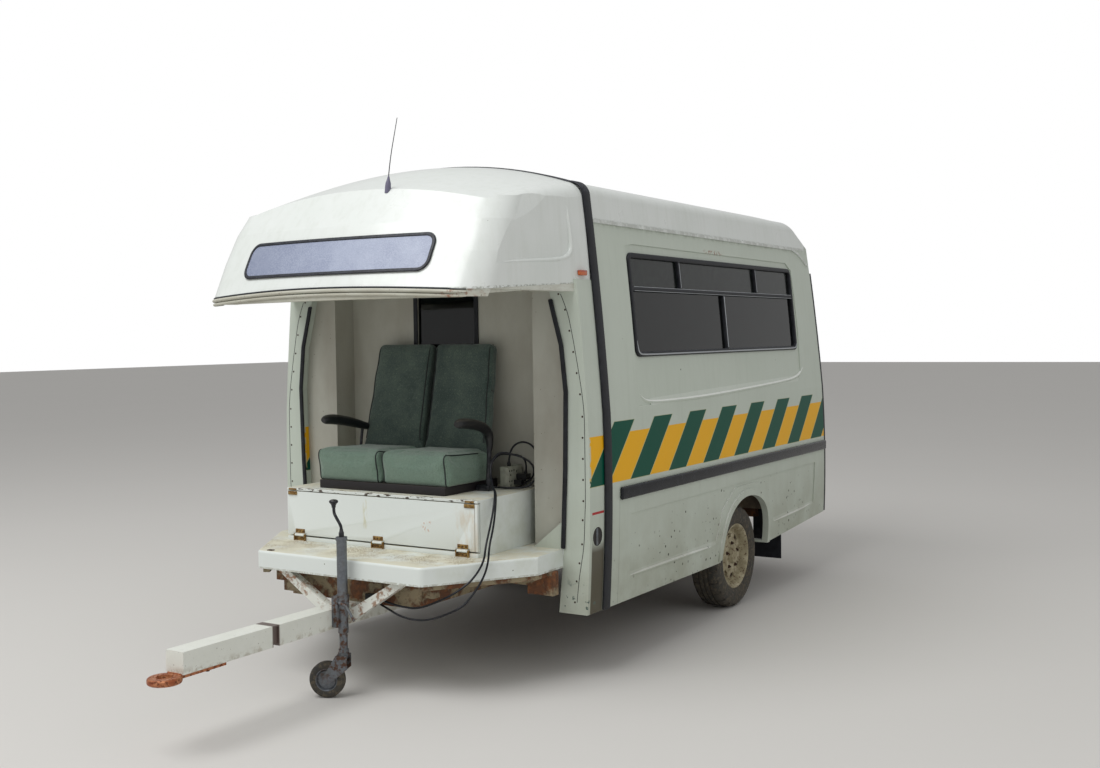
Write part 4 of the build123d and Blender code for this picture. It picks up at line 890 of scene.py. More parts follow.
def socket_plastic():
    """Urea-formaldehyde socket plate, pressed: yellowed grey beige, slightly greasy."""
    made, tree, shader, at = material("pressed_urea_plastic", IOR=1.55)
    greasy = patches(tree, at, 0.03, 0.5, 0.12)
    paint_with(tree, shader, coats(tree, linear("#9FA193"), (overlap(tree, greasy, 0.5), linear("#74766A"))))
    dull(tree, shader, greasy, 0.35, 0.6)
    raise_by(tree, shader, (greasy, 0.0002))
    return made


COATS = {}


def coat(maker, *values):
    """A material, made once however many pieces share it."""
    key = (maker.__name__, *values)
    if key not in COATS:
        COATS[key] = maker(*values)
    return COATS[key]


def seal_rubber():
    """The rubber of all the seals and strips."""
    return coat(rubber, "extruded_epdm_rubber", 0.42)


def dress(made, *names):
    """Give nodes of the frame a material."""
    for name in names:
        node = NODES[name]
        if not node.material_slots:
            node.data.materials.append(made)
        for slot in node.material_slots:
            slot.link = "OBJECT"
            slot.material = made


# Camera and cables

def make_camera():
    """Camera at the picture's place, turned by its three angles."""
    camera = bpy.data.cameras.new("camera")
    camera.lens = LENS
    camera.sensor_width = FILM_WIDTH
    camera.clip_start = 0.1
    camera.clip_end = 200
    turn, pitch, roll = CAMERA_TURNS
    look = Vector((-sin(turn) * cos(pitch), cos(turn) * cos(pitch), sin(pitch)))
    right = Vector((cos(turn), sin(turn), 0))
    up = right.cross(look)
    across = right * cos(roll) + up * sin(roll)
    upward = up * cos(roll) - right * sin(roll)
    rows = Matrix((across, upward, -look)).transposed()
    obj = bpy.data.objects.new("camera", camera)
    obj.matrix_world = Matrix.Translation(CAMERA_PLACE) @ rows.to_4x4()
    bpy.context.scene.collection.objects.link(obj)
    bpy.context.scene.camera = obj


CABLE_OUTER = [(0.548, -0.062, 0.937), (0.598, -0.074, 0.960), (0.620, -0.098, 1.020), (0.590, -0.122, 1.062),
               (0.540, -0.172, 1.088), (0.504, -0.232, 1.104), (0.486, -0.284, 1.062), (0.503, -0.314, 0.992),
               (0.554, -0.368, 0.945), (0.615, -0.436, 0.930), (0.643, -0.502, 0.840), (0.674, -0.580, 0.766),
               (0.697, -0.640, 0.715), (0.692, -0.649, 0.641), (0.662, -0.694, 0.566), (0.617, -0.750, 0.516),
               (0.528, -0.785, 0.466), (0.423, -0.802, 0.426), (0.336, -0.804, 0.427), (0.254, -0.804, 0.437),
               (0.180, -0.802, 0.453)]
CABLE_INNER = [(0.533, -0.042, 0.995), (0.545, -0.052, 1.040), (0.535, -0.095, 1.075), (0.510, -0.155, 1.085),
               (0.492, -0.222, 1.092), (0.476, -0.272, 1.050), (0.492, -0.302, 0.985), (0.545, -0.352, 0.938),
               (0.608, -0.418, 0.924), (0.643, -0.484, 0.828), (0.679, -0.560, 0.760), (0.700, -0.616, 0.712),
               (0.703, -0.633, 0.624), (0.684, -0.660, 0.548), (0.642, -0.725, 0.457), (0.600, -0.759, 0.425),
               (0.507, -0.787, 0.385), (0.421, -0.800, 0.371), (0.323, -0.802, 0.379), (0.244, -0.803, 0.411),
               (0.180, -0.802, 0.434)]
SOCKET_LEAD = [(0.460, -0.085, 1.042), (0.464, -0.082, 1.108), (0.524, -0.062, 1.146), (0.596, -0.060, 1.122),
               (0.620, -0.058, 1.050), (0.620, -0.066, 0.975), (0.592, -0.112, 0.918), (0.520, -0.150, 0.916),
               (0.446, -0.170, 0.917), (0.392, -0.176, 0.920)]


def make_cables():
    """Three PVC-sheathed cables, each a smooth line along listed points."""
    sheath = coat(rubber, "extruded_pvc_sheath", 0.30, 0.15)
    for name, points, length in (("cable_outer", CABLE_OUTER, 1.64), ("cable_inner", CABLE_INNER, 1.62),
                                 ("socket_lead", SOCKET_LEAD, 0.62)):
        curve = bpy.data.curves.new(name + "_line", "CURVE")
        curve.dimensions = "3D"
        spline = curve.splines.new("NURBS")
        spline.points.add(len(points) - 1)
        for point, (x, y, z) in zip(spline.points, points):
            point.co = (x, y + SEAM, z, 1)
        spline.order_u = 3
        spline.use_endpoint_u = True
        curve.bevel_depth = size("cable_width") / 2
        curve.bevel_resolution = 4
        curve.resolution_u = 12
        curve.use_fill_caps = True
        obj = bpy.data.objects.new(name + "_line", curve)
        bpy.context.scene.collection.objects.link(obj)
        curve.materials.append(sheath)
        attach(obj, "body")
        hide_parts(name)
        size("cable_width")


# Stage

def make_stage():
    """Matt floor, a white background for what is seen straight or through glass, and two soft lamps."""
    bpy.ops.object.select_all(action="DESELECT")
    bpy.ops.mesh.primitive_plane_add(size=120, location=(0, 0, 0))
    floor = bpy.context.object
    floor.name = "studio_floor"
    made, tree, shader, at = material("matt_studio_floor", Roughness=0.9)
    paint_with(tree, shader, coats(tree, linear("#D2D0CC"),
                                   (overlap(tree, patches(tree, at, 2.0, 0.5, 0.3), 0.2),
                                                            linear("#CBC9C5"))))
    floor.data.materials.append(made)
    world = bpy.data.worlds.new("studio")
    bpy.context.scene.world = world
    world.use_nodes = True
    tree = world.node_tree
    soft = tree.nodes["Background"]
    soft.inputs[0].default_value = (1, 1, 1, 1)
    soft.inputs[1].default_value = 0.50
    white = add(tree, "ShaderNodeBackground", Color=(1, 1, 1, 1), Strength=1.0)
    rays = add(tree, "ShaderNodeLightPath")
    seen = add(tree, "ShaderNodeMath", {"operation": "MAXIMUM"}, i0=rays.outputs["Is Camera Ray"],
               i1=rays.outputs["Is Transmission Ray"])
    blend = add(tree, "ShaderNodeMixShader", i0=seen.outputs[0], i1=soft.outputs[0], i2=white.outputs[0])
    tree.links.new(blend.outputs[0], tree.nodes["World Output"].inputs[0])
    for name, place, power, width, height in (("soft_key", (-1.5, -6.5, 10.0), 760, 8, 6),
                                              ("soft_fill", (8.0, -2.0, 5.0), 50, 6, 5)):
        lamp = bpy.data.lights.new(name, "AREA")
        lamp.energy = power
        lamp.shape = "RECTANGLE"
        lamp.size = width
        lamp.size_y = height
        obj = bpy.data.objects.new(name, lamp)
        place = Vector(place)
        aim = (Vector((0, -0.6, 1.2)) - place).to_track_quat("-Z", "Y").to_matrix().to_4x4()
        obj.matrix_world = Matrix.Translation(place) @ aim
        bpy.context.scene.collection.objects.link(obj)


# Body

def make_coachwork():
    """Paint on steel, gel coat on the moulded parts, lining and floor."""
    dress(coat(coach_paint), "left_side_panel", "right_side_panel", "rear_frame", "front_pillars",
          "rear_door_left", "rear_door_right")
    dress(coat(gel_coat), "roof_panel", "pod_shell")
    dress(coat(lining_board), "front_bulkhead")
    dress(coat(plywood), "floor_panel")
    # thin beads of the mould and the presses, where they catch the light
    cap = [(-0.735, 1.999, 0.835), (-0.623, 2.006, 0.848), (-0.475, 2.015, 0.861), (-0.320, 2.024, 0.876),
           (-0.220, 2.036, 0.884), (-0.178, 2.065, 0.894), (-0.168, 2.109, 0.892), (-0.171, 2.181, 0.886),
           (-0.176, 2.266, 0.877), (-0.172, 2.340, 0.867)]
    bead = pulled([seam(x - 0.003, y, z) for y, z, x in cap], 0.013,
                  thickness=[0.1, 0.6, 0.9, 1.0, 1.0, 1.0, 0.9, 0.7, 0.5, 0.1], sides=4)
    keep(both_sides(bead), "cap_ledge", "body", coat(gel_coat), 60)
    lines = []
    for path in ([(0.371, 1.381), (0.398, 1.341), (0.489, 1.316), (0.835, 1.314), (1.224, 1.317),
                  (1.737, 1.332), (2.319, 1.351), (2.597, 1.367), (2.716, 1.403), (2.777, 1.462)],
                 [(0.226, 0.447), (0.277, 0.449), (0.587, 0.448), (0.890, 0.446), (1.221, 0.442),
                  (1.278, 0.440)],
                 [(2.169, 0.460), (2.238, 0.460), (2.531, 0.471), (2.814, 0.482), (2.900, 0.500)]):
        points = [side_point(NODES["left_side_panel"], y, z, -0.004) for y, z in path]
        lines.append(pulled(points, 0.0115, thickness=[0.1, 0.8] + [1.0] * (len(points) - 4) + [0.8, 0.1],
                            sides=4))
    keep(both_sides(joined(lines)), "panel_ledges", "body", coat(coach_paint), 60)


def make_trim():
    """Rubber strips, seals and rails with their edges rounded."""
    matt = seal_rubber()
    softened("seam_strip", "seam_strip_rubber", "body", matt, 0.007, ring=True)
    softened("door_seals", "door_seal_tubes", "body", matt, 0.008, 4)
    softened("rub_rails", "rub_rail_mouldings", "body",
             coat(rubber, "moulded_epdm_rail", 0.20, 0.30), 0.0155, 5)
    dress(matt, "rear_corner_trims", "mudflaps")


def side_point(node, y, z, proud=0.0):
    """A point on the left face of a node, at a seam Y and a height."""
    place, normal = on_surface(node, seam(1.4, y, z), (-1, 0, 0))
    return place + normal * proud


def make_windows():
    """Side windows: rubber with rounded edges, a bright locking strip that is in part a painted highlight,
    pane edges and slider tracks.
    """
    matt = seal_rubber()
    bright = coat(bright_metal)
    frames = softened("side_window_frames", "side_window_rubbers", "body", matt, 0.005)
    dress(coat(tinted_glass), "side_window_glass", "rear_glass_left", "rear_glass_right", "hatch_glass")
    # the bright strip lies where the rubber shows a highlight line: a locking strip, and in part a painted
    # highlight
    path = [side_point(frames, y, z, 0.001) for y, z in
            ((0.376, 1.640), (0.378, 1.595), (0.396, 1.573), (0.430, 1.567), (0.80, 1.567), (1.30, 1.567),
             (1.80, 1.567), (2.30, 1.567), (2.610, 1.567), (2.635, 1.575), (2.652, 1.600))]
    strip = both_sides(pulled(path, 0.0042, thickness=[0.2, 0.8, 1, 1, 1, 1, 1, 1, 1, 0.8, 0.2]))
    keep(strip, "window_locking_strips", "body", bright)
    lines = []
    for z in (1.8985, 1.9185):
        points = [side_point(frames, y, z, 0.0005) for y in (0.40, 1.0, 1.6, 2.2, 2.63)]
        lines.append(pulled(points, 0.0016, order=2))
    for y in (0.9565, 2.0425):
        points = [side_point(frames, y, z, 0.0005) for z in (1.925, 2.0, 2.062)]
        lines.append(pulled(points, 0.0012, order=2))
    points = [side_point(frames, 1.524, z, 0.0008) for z in (1.59, 1.70, 1.80, 1.890)]
    lines.append(pulled(points, 0.0022, order=2))
    keep(both_sides(joined(lines)), "window_slider_tracks", "body", bright)
    # edges of the sliding panes
    plates = []
    for y0, y1 in ((0.400, 0.940), (0.975, 1.50)):
        plates.append(opened(block(seam(0.880, y0, 1.926), seam(0.884, y1, 2.064)), 0, 0.010))
    panes = joined(plates)
    bpy.ops.object.mode_set(mode="EDIT")
    choose("VERT", lambda c, n: c.z > 1.99)
    bpy.ops.transform.translate(value=(-0.0145, 0, 0))
    bpy.ops.object.mode_set(mode="OBJECT")
    keep(both_sides(round_edges(panes, 0.0012, 2)), "sliding_pane_edges", "body", matt)
    hatch = opened(block(seam(-0.212, 0.011, 1.128), seam(0.212, 0.0205, 2.142)), 1, 0.026)
    keep(round_edges(hatch, 0.004, 3), "hatch_rubber", "body", matt)


def make_sign():
    """Blank sign with a rounded rubber surround on the cap's front."""
    dress(coat(sign_film), "sign_panel")
    softened("sign_surround", "sign_surround_bead", "body", seal_rubber(), 0.0045, 4)


def rim_height(x, y):
    """Height of the cap's lower rim at a place in its plan."""
    table = ((0.0, 1.925, 0.002, 0.922), (-0.25, 1.914, 0.008, 0.895), (-0.52, 1.900, 0.015, 0.872),
             (-0.76, 1.884, 0.026, 0.846), (-1.01, 1.874, 0.034, 0.815))
    for (y0, *first), (y1, *second) in zip(table, table[1:]):
        if y >= y1:
            share = (y - y0) / (y1 - y0)
            base, rise, half = (a + share * (b - a) for a, b in zip(first, second))
            return base + rise * (1 - (x / half) ** 2)
    return 1.874


def make_header():
    """Header rails cut off at the cap's rim, the mouldings under its front, and a dark bead under its rim as
    painted shade.
    """
    rails = merged_copy("header_rails", "header_rail_panel")
    bpy.ops.mesh.bisect(plane_co=seam(0, 0, 1.928), plane_no=(0, -RIM_FALL, 0.99877), use_fill=True,
                        clear_outer=True)
    choose("VERT", lambda c, n: c.z < 1.86 and c.y > SEAM - 0.78)
    bpy.ops.transform.translate(value=(0, 0, 0.034))
    bpy.ops.object.mode_set(mode="OBJECT")
    keep(rails, "header_rail_panel", "body", coat(header_paint), replaces=("header_rails",))
    radius, middle = 3.342, 2.370
    plan = [(-0.846, -0.740), (-0.832, -0.800), (-0.800, -0.850), (-0.748, -0.884)]
    plan += [(radius * sin(radians(a)), middle - radius * cos(radians(a))) for a in
             (-11.9, -9, -6, -3, 0, 3, 6, 9, 11.9)]
    plan += [(0.735, -0.884), (0.770, -0.862)]
    lines = []
    for below, proud, thick in ((0.016, 0.004, 0.0085), (0.035, 0.001, 0.0075)):
        path = []
        for x, y in plan:
            out = Vector((x, y - middle, 0)).normalized() * proud
            path.append(seam(x + out.x, y + out.y, rim_height(x, y) - below))
        ends = [0.3, 0.8] + [1.0] * (len(path) - 4) + [0.8, 0.35]
        lines.append(pulled(path, thick, thickness=ends, sides=4))
    keep(joined(lines), "header_mouldings", "body", coat(header_paint))
    # a dark rubber bead under the rim's front, standing for the rim's shadow: painted shade
    gap = [seam(x, y - 0.001, rim_height(x, y) - 0.0035) for x, y in plan]
    keep(pulled(gap, 0.0045, sides=2), "rim_gasket", "body", seal_rubber())


def make_pillar_details():
    """Rivets and the sealed joint down the pillars, and the filler recess on the left."""
    line = [(0.830, 1.871), (0.866, 1.795), (0.889, 1.694), (0.909, 1.592), (0.927, 1.491), (0.944, 1.390),
            (0.955, 1.283), (0.955, 1.182), (0.955, 1.081), (0.955, 0.980), (0.955, 0.878), (0.950, 0.786),
            (0.945, 0.669), (0.929, 0.576), (0.912, 0.487), (0.901, 0.384)]
    pillars = NODES["front_pillars"]
    heads = []
    for x, z in line:
        place = on_surface(pillars, seam(x - 0.012, -0.6, z), (0, 1, 0))[0]
        heads.append(round_head(place, size("rivet_radius"), 0.45, 10))
    keep(both_sides(joined(heads)), "pillar_rivets", "body", coat(screw_steel), 60)
    joint = [on_surface(pillars, seam(x, -0.6, z), (0, 1, 0))[0] for x, z in line]
    keep(both_sides(pulled(joint, 0.0016, order=3, sides=1)), "pillar_joint_sealer", "body",
         seal_rubber())
    # filler recess: pressed rim, a near-black dish as painted shade of the recess, and the pale plate across
    # it
    place, normal = on_surface(NODES["front_pillars"], seam(1.4, -0.100, 0.700), (-1, 0, 0))
    rim = spun([(-0.004, 0.052), (0.0022, 0.0515), (0.0034, 0.0490), (0.0026, 0.0462), (0.0004, 0.0452),
                (-0.004, 0.0450)], place, normal, 48)
    keep(rim, "filler_rim", "body", coat(coach_paint))
    dish = spun([(-0.003, 0.0465), (0.0016, 0.0462), (0.0012, 0.040), (0.0008, 0.022), (0.0014, 0.014),
                 (0.0030, 0.012), (0.0032, 0.006), (0.0032, 0.0)], place, normal, 40)
    recess_shade = coat(moulded_plastic, "sooted_steel_dish", "#1E1B18", 0.6)
    keep(dish, "filler_dish", "body", recess_shade)
    plate = block(place + Vector((-0.001, -0.013, -0.041)), place + Vector((0.0036, 0.004, 0.041)))
    keep(round_edges(plate, 0.0015, 2), "filler_plate", "body", coat(galvanised))


def make_lamps():
    """Marker lamps, rear lamp clusters and the whip aerial."""
    softened("marker_lamps", "marker_lamp_lenses", "body",
             coat(lens, "moulded_acrylic_amber", "#D8641C", (1.976, "#B8401C")), 0.006, 4)
    cluster = coat(lens, "moulded_acrylic_cluster", "#C9C7C0", (0.680, "#9A1216"), (0.775, "#D2701C"))
    softened("rear_lamps", "rear_lamp_lenses", "body", cluster, 0.006, 3)
    x, y, z = 0.199, -0.687, 2.350
    foot = spun([(0.0, 0.0145), (0.030, 0.0140), (0.048, 0.0125), (0.058, 0.0090), (0.074, 0.0050),
                 (0.082, 0.0025)], seam(x, y, z + 0.002), (0.10, 0, 1), 24)
    faded = coat(moulded_plastic, "faded_aerial_rubber", "#6D6A80", 0.55)
    keep(foot, "aerial_foot", "body", faded, replaces=("aerial",))
    whip = pulled([seam(0.2035, y, 2.400), seam(0.2085, y, 2.450), seam(0.225, y, 2.540),
                   seam(0.245, y, 2.620), seam(0.264, y, 2.698)], 0.0021, thickness=[1.3, 1.1, 1, 0.9, 0.8])
    keep(whip, "aerial_whip", "body", coat(painted_black))


def make_platform():
    """Platform, storage box and flap in brushed paint, with the flap's hinges, screws and catches."""
    white = coat(board_paint)
    dress(white, "platform")
    softened("storage_box", "storage_box_rounded", "body", white, 0.0035, 2)
    softened("storage_flap", "storage_flap_rounded", "storage_flap", white, 0.002, 2)
    brass, dark = coat(pressed_brass), coat(screw_steel)
    dress(brass, "flap_hinges")
    front = -0.567
    lower, upper, low_screws, high_screws = [], [], [], []
    for x in (-0.515, 0.0, 0.515):
        for leaves, screws, z0, z1 in ((lower, low_screws, 0.6385, 0.6565),
                                       (upper, high_screws, 0.6745, 0.6960)):
            leaf = block(seam(x - 0.031, front - 0.0032, z0), seam(x + 0.031, front + 0.0005, z1))
            leaves.append(round_edges(leaf, 0.001, 2))
            for across in (-0.021, 0.0, 0.021):
                screws.append(round_head(seam(x + across, front - 0.0034, (z0 + z1) / 2), 0.0036, 0.4, 12))
    keep(joined(lower), "hinge_leaves_on_sill", "body", brass)
    keep(joined(upper), "hinge_leaves_on_flap", "storage_flap", brass)
    keep(joined(low_screws), "sill_screws", "body", dark)
    keep(joined(high_screws), "flap_screws", "storage_flap", dark)
    # catches at the flap's top corners: a plate on the flap with a turned lip, and its keeper on the lintel
    plates, keepers = [], []
    for x in (-0.563, 0.556):
        plate = block(seam(x - 0.030, front - 0.0035, 0.8700), seam(x + 0.030, front + 0.0005, 0.8885))
        bpy.ops.object.mode_set(mode="EDIT")
        choose("FACE", lambda c, n: n.y < -0.9)
        bpy.ops.mesh.inset(thickness=0.0045)
        bpy.ops.mesh.extrude_region_move(TRANSFORM_OT_translate={"value": (0, -0.004, 0)})
        bpy.ops.object.mode_set(mode="OBJECT")
        plates.append(round_edges(plate, 0.0012, 2))
        keeper = block(seam(x - 0.026, front - 0.0030, 0.8945), seam(x + 0.026, front + 0.0005, 0.9040))
        keepers.append(round_edges(keeper, 0.0012, 2))
    keep(joined(plates), "flap_catches", "storage_flap", brass)
    keep(joined(keepers), "catch_keepers", "body", brass)
    tab = block(seam(-0.452, -0.872, 0.636), seam(-0.418, -0.850, 0.6405))
    keep(round_edges(tab, 0.0012, 2), "platform_tab", "body", dark)


# Seat

def fill_pad(obj, held):
    """Fill a closed form as foam does its cover: cloth with pressure inside, its swelling held to a cap."""
    modify(obj, "REMESH", mode="VOXEL", voxel_size=PAD_GRID)
    start = [v.co.copy() for v in obj.data.vertices]
    group = obj.vertex_groups.new(name="held")
    group.add([number for number, place in enumerate(start) if held(place)], 1.0, "REPLACE")
    cover = obj.modifiers.new("cover", "CLOTH")
    cover.settings.quality = 5
    cover.settings.mass = 0.3
    cover.settings.tension_stiffness = 15
    cover.settings.compression_stiffness = 15
    cover.settings.bending_stiffness = 0.5
    cover.settings.use_pressure = True
    cover.settings.uniform_pressure_force = size("pressure")
    cover.settings.effector_weights.gravity = 0
    cover.settings.vertex_group_mass = "held"
    cover.collision_settings.use_collision = False
    cover.point_cache.frame_start = 1
    cover.point_cache.frame_end = FILL_FRAMES
    for number in range(1, FILL_FRAMES + 1):
        bpy.context.scene.frame_set(number)
    alone(obj)
    bpy.ops.object.modifier_apply(modifier=cover.name)
    obj.vertex_groups.clear()
    most = size("swell")
    for vert, place in zip(obj.data.vertices, start):
        move = vert.co - place
        if move.length > 1e-6:
            vert.co = place + move.normalized() * most * tanh(move.length / most)
    bpy.context.scene.frame_set(1)
    modify(obj, "SMOOTH", factor=0.5, iterations=3)
    return modify(obj, "SUBSURF", levels=1, render_levels=1)


def make_seat():
    """Two cushions and two backs in moquette with piping, on their black base."""
    # near cushion: a block whose front leans in towards its foot, rounded and filled
    pad = block(seam(SEAT_X + 0.007, -0.528, 0.9495), seam(SEAT_X + 0.410, -0.124, 1.110))
    bpy.ops.object.mode_set(mode="EDIT")
    choose("VERT", lambda c, n: c.z < 1.0 and c.y < SEAM - 0.4)
    bpy.ops.transform.translate(value=(0, 0.030, 0))
    choose("VERT", lambda c, n: c.z > 1.0 and c.y > SEAM - 0.3)
    bpy.ops.transform.translate(value=(0, 0, -0.014))
    choose("EDGE", lambda c, d: c.z > 1.0 and c.y < SEAM - 0.4 and abs(d.x) > 0.9)
    bpy.ops.mesh.bevel(offset=0.036, segments=6)
    bpy.ops.object.mode_set(mode="OBJECT")
    round_edges(pad, 0.012, 3, 40)
    near = fill_pad(pad, lambda place: place.z < 0.956)
    far = mirrored(near, SEAT_X)
    cloth, welt = coat(moquette, "woven_wool_moquette", "cushion_cloth"), coat(piping_vinyl)
    pipes = []
    for x in (SEAT_X + 0.022, SEAT_X + 0.398):
        centre = seam(x, -0.325, 1.025)
        path = []
        for number in range(61):
            turn = radians(208 - 2.9 * number)
            place, normal = on_surface(near, centre, (0, cos(turn), sin(turn)))
            path.append(place + normal * PIPING_PROUD)
        pipes.append(pulled(path, size("piping_radius"), sides=2, smooth=2))
    welts = joined(pipes)
    keep(joined([welts, mirrored(welts, SEAT_X)]), "cushion_piping", "body", welt, 60)
    for obj, name in ((near, "cushion_near"), (far, "cushion_far")):
        keep(obj, name, "body", cloth, 180, replaces=("seat_cushions",))
    # near back, drawn upright on its foot, filled and then leaned
    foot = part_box("seat_backs")[0].z
    back = block((0.005, 0.004, -0.016), (0.402, 0.056, 0.552))
    bpy.ops.object.mode_set(mode="EDIT")
    choose("EDGE", lambda c, d: abs(d.z) > 0.9)
    bpy.ops.mesh.subdivide(number_cuts=5)
    choose("VERT", lambda c, n: c.x > 0.2 and c.z > 0.25)
    bpy.ops.transform.translate(value=(-0.010, 0, 0))
    choose("VERT", lambda c, n: c.x > 0.2 and c.z > 0.40)
    bpy.ops.transform.translate(value=(-0.010, 0, 0))
    choose("VERT", lambda c, n: c.x > 0.2 and c.z > 0.50)
    bpy.ops.transform.translate(value=(-0.008, 0, 0))
    choose("EDGE", lambda c, d: c.z > 0.5 and abs(d.y) > 0.9)
    bpy.ops.mesh.bevel(offset=0.030, segments=5)
    bpy.ops.object.mode_set(mode="OBJECT")
    round_edges(back, 0.012, 3, 40)
    near = fill_pad(back, lambda place: place.z < -0.012)
    paths = []
    for inset in (0.012, None):
        path = []
        for number in range(19):
            z = 0.030 + number * 0.0265
            edge = on_surface(near, (0.2, 0.029, z), (1 if inset else -1, 0, 0))[0].x
            x = edge - 0.014 if inset else edge + 0.014
            path.append(on_surface(near, (x, 0.029, z), (0, -1, 0))[0] + Vector((0, -PIPING_PROUD, 0)))
        top = path[-1]
        path += [on_surface(near, (top.x - (0.004 if inset else -0.004), 0.029, 0.50), (0, -0.5, 1))[0],
                 on_surface(near, (top.x - (0.006 if inset else -0.006), 0.029, 0.50), (0, 0.2, 1))[0]]
        paths.append(path)
    pipes = [pulled(path, size("piping_radius"), sides=2, smooth=5) for path in paths]
    gusset = [on_surface(near, (0.30, y, 0.300 + 0.2 * (0.029 - y)), (1, 0, 0))[0] for y in
              (0.016, 0.022, 0.029, 0.036, 0.043)]
    pipes.append(pulled(gusset, 0.0022, sides=2, smooth=4))
    welts = joined(pipes)
    place = seam(SEAT_X + 0.012, -0.178, foot + 0.004)
    stands = []
    for obj in (near, welts):
        twin = mirrored(obj, 0)
        for piece in (obj, twin):
            piece.rotation_euler = (BACK_LEAN, 0, 0)
            piece.location = place
            settle(piece)
        stands.append((obj, twin))
    (near, far), (welts, other) = stands
    keep(joined([welts, other]), "back_piping", "body", welt, 60)
    # the backs take the cushions' moquette in a darker colour: painted shade
    cloth = coat(moquette, "woven_wool_moquette_shaded", "back_cloth")
    for obj, name in ((near, "back_near"), (far, "back_far")):
        keep(obj, name, "body", cloth, 180, replaces=("seat_backs",))
    softened("seat_base", "seat_base_frame", "body",
             coat(moulded_plastic, "moulded_black_abs", "#1A1518", 0.5), 0.004, 2)


def make_armrests():
    """Padded armrests that bend down into their posts."""
    skin = coat(moulded_plastic, "integral_skin_polyurethane", "#141518", 0.40)
    steel = coat(painted_black)
    near = ((-0.500, 1.252), (-0.490, 1.256), (-0.440, 1.256), (-0.360, 1.246), (-0.280, 1.226),
            (-0.235, 1.196), (-0.226, 1.150), (-0.228, 1.110))
    arm = pulled([seam(0.440, y, z) for y, z in near], 0.023,
                 thickness=[0.6, 1.0, 1.15, 1.15, 1.1, 1.0, 0.75, 0.55], sides=6, smooth=10)
    arm.scale = (1.12, 1, 1)
    arm.location.x = -0.12 * 0.440
    keep(arm, "armrest_near", "body", skin, 60, replaces=("armrests",))
    upright = ((-0.228, 1.160), (-0.230, 1.080), (-0.240, 1.000), (-0.240, 0.930))
    post = pulled([seam(0.440, y, z) for y, z in upright], 0.012, thickness=[1.1, 1.0, 1.0, 1.2], sides=4)
    foot = round_edges(block(seam(0.374, -0.262, 0.908), seam(0.456, -0.218, 0.936)), 0.005, 3)
    keep(joined([post, foot]), "armrest_post", "body", steel)
    away = ((-0.500, 1.252), (-0.490, 1.256), (-0.440, 1.256), (-0.360, 1.246), (-0.270, 1.228),
            (-0.190, 1.208), (-0.120, 1.192))
    far = pulled([seam(-0.405, y, z) for y, z in away], 0.023,
                 thickness=[0.6, 1.0, 1.15, 1.15, 1.1, 0.9, 0.7], sides=6, smooth=10)
    keep(far, "armrest_far", "body", skin, 60)
    prop = ((-0.185, 1.205), (-0.190, 1.170), (-0.200, 1.120), (-0.205, 1.060))
    stay = pulled([seam(-0.4125, y, z) for y, z in prop], 0.008, sides=4)
    keep(stay, "armrest_stay", "body", steel)


def make_socket():
    """Twin socket box: pressed plate with two sets of round holes and rocker switches, and its plugs."""
    plastic = coat(socket_plastic)
    dark = coat(moulded_plastic, "moulded_black_nylon", "#101113", 0.45)
    softened("socket_box", "socket_box_rounded", "body", plastic, 0.004, 3)
    plate = block(seam(0.4795, -0.139, 0.911), seam(0.4850, -0.001, 1.013))
    bpy.ops.object.mode_set(mode="EDIT")
    choose("FACE", lambda c, n: n.x > 0.9)
    bpy.ops.mesh.inset(thickness=0.006)
    bpy.ops.mesh.extrude_region_move(TRANSFORM_OT_translate={"value": (0.003, 0, 0)})
    bpy.ops.transform.resize(value=(1, 0.97, 0.95))
    bpy.ops.object.mode_set(mode="OBJECT")
    keep(round_edges(plate, 0.002, 3, 25), "socket_plate", "body", plastic)
    holes, rockers = [], []
    # the holes are shallow black discs on the plate: painted shade of the holes
    for y, z in ((-0.124, 0.996), (-0.104, 0.996), (-0.114, 0.975), (-0.124, 0.944), (-0.104, 0.944),
                 (-0.114, 0.924), (-0.084, 0.998), (-0.060, 0.990)):
        holes.append(spun([(-0.001, 0.0046), (0.0009, 0.0044), (0.0006, 0.0036), (0.0004, 0.0)],
                          seam(0.488, y, z), (1, 0, 0), 14))
    for z in (0.962, 0.936):
        rocker = block(seam(0.4870, -0.098, z - 0.007), seam(0.4905, -0.090, z + 0.007))
        rockers.append(round_edges(rocker, 0.0012, 2))
    keep(joined(holes), "socket_holes", "body", dark)
    keep(joined(rockers), "socket_rockers", "body", plastic)
    dress(dark, "cable_ends")


# Frame

def make_frame():
    """Trailer frame, drawbar, eye, axle and springs."""
    dress(coat(rusty_frame), "chassis_rails", "cross_members", "rear_step")
    dress(coat(drawbar_paint), "drawbar")
    dress(coat(forged_eye), "tow_eye")
    dress(coat(underbody_steel), "axle_beam", "leaf_springs")
    bolts = []
    for x, y in ((-0.022, -1.845), (0.022, -1.845), (-0.022, -1.700), (0.022, -1.700)):
        bolts.append(spun([(0.0, 0.0), (-0.0005, 0.0095), (-0.007, 0.0095), (-0.0085, 0.0080),
                           (-0.0085, 0.0)], seam(x, y, 0.3085), (0, 0, 1), 6))
    keep(joined(bolts), "eye_plate_bolts", "body", coat(screw_steel))
    run = ((-0.040, 0.3245), (-0.015, 0.3240), (0.010, 0.3248), (0.040, 0.3243))
    weld = pulled([seam(x, -1.8530, z) for x, z in run], 0.004, sides=2)
    keep(weld, "eye_weld", "body", coat(forged_eye))


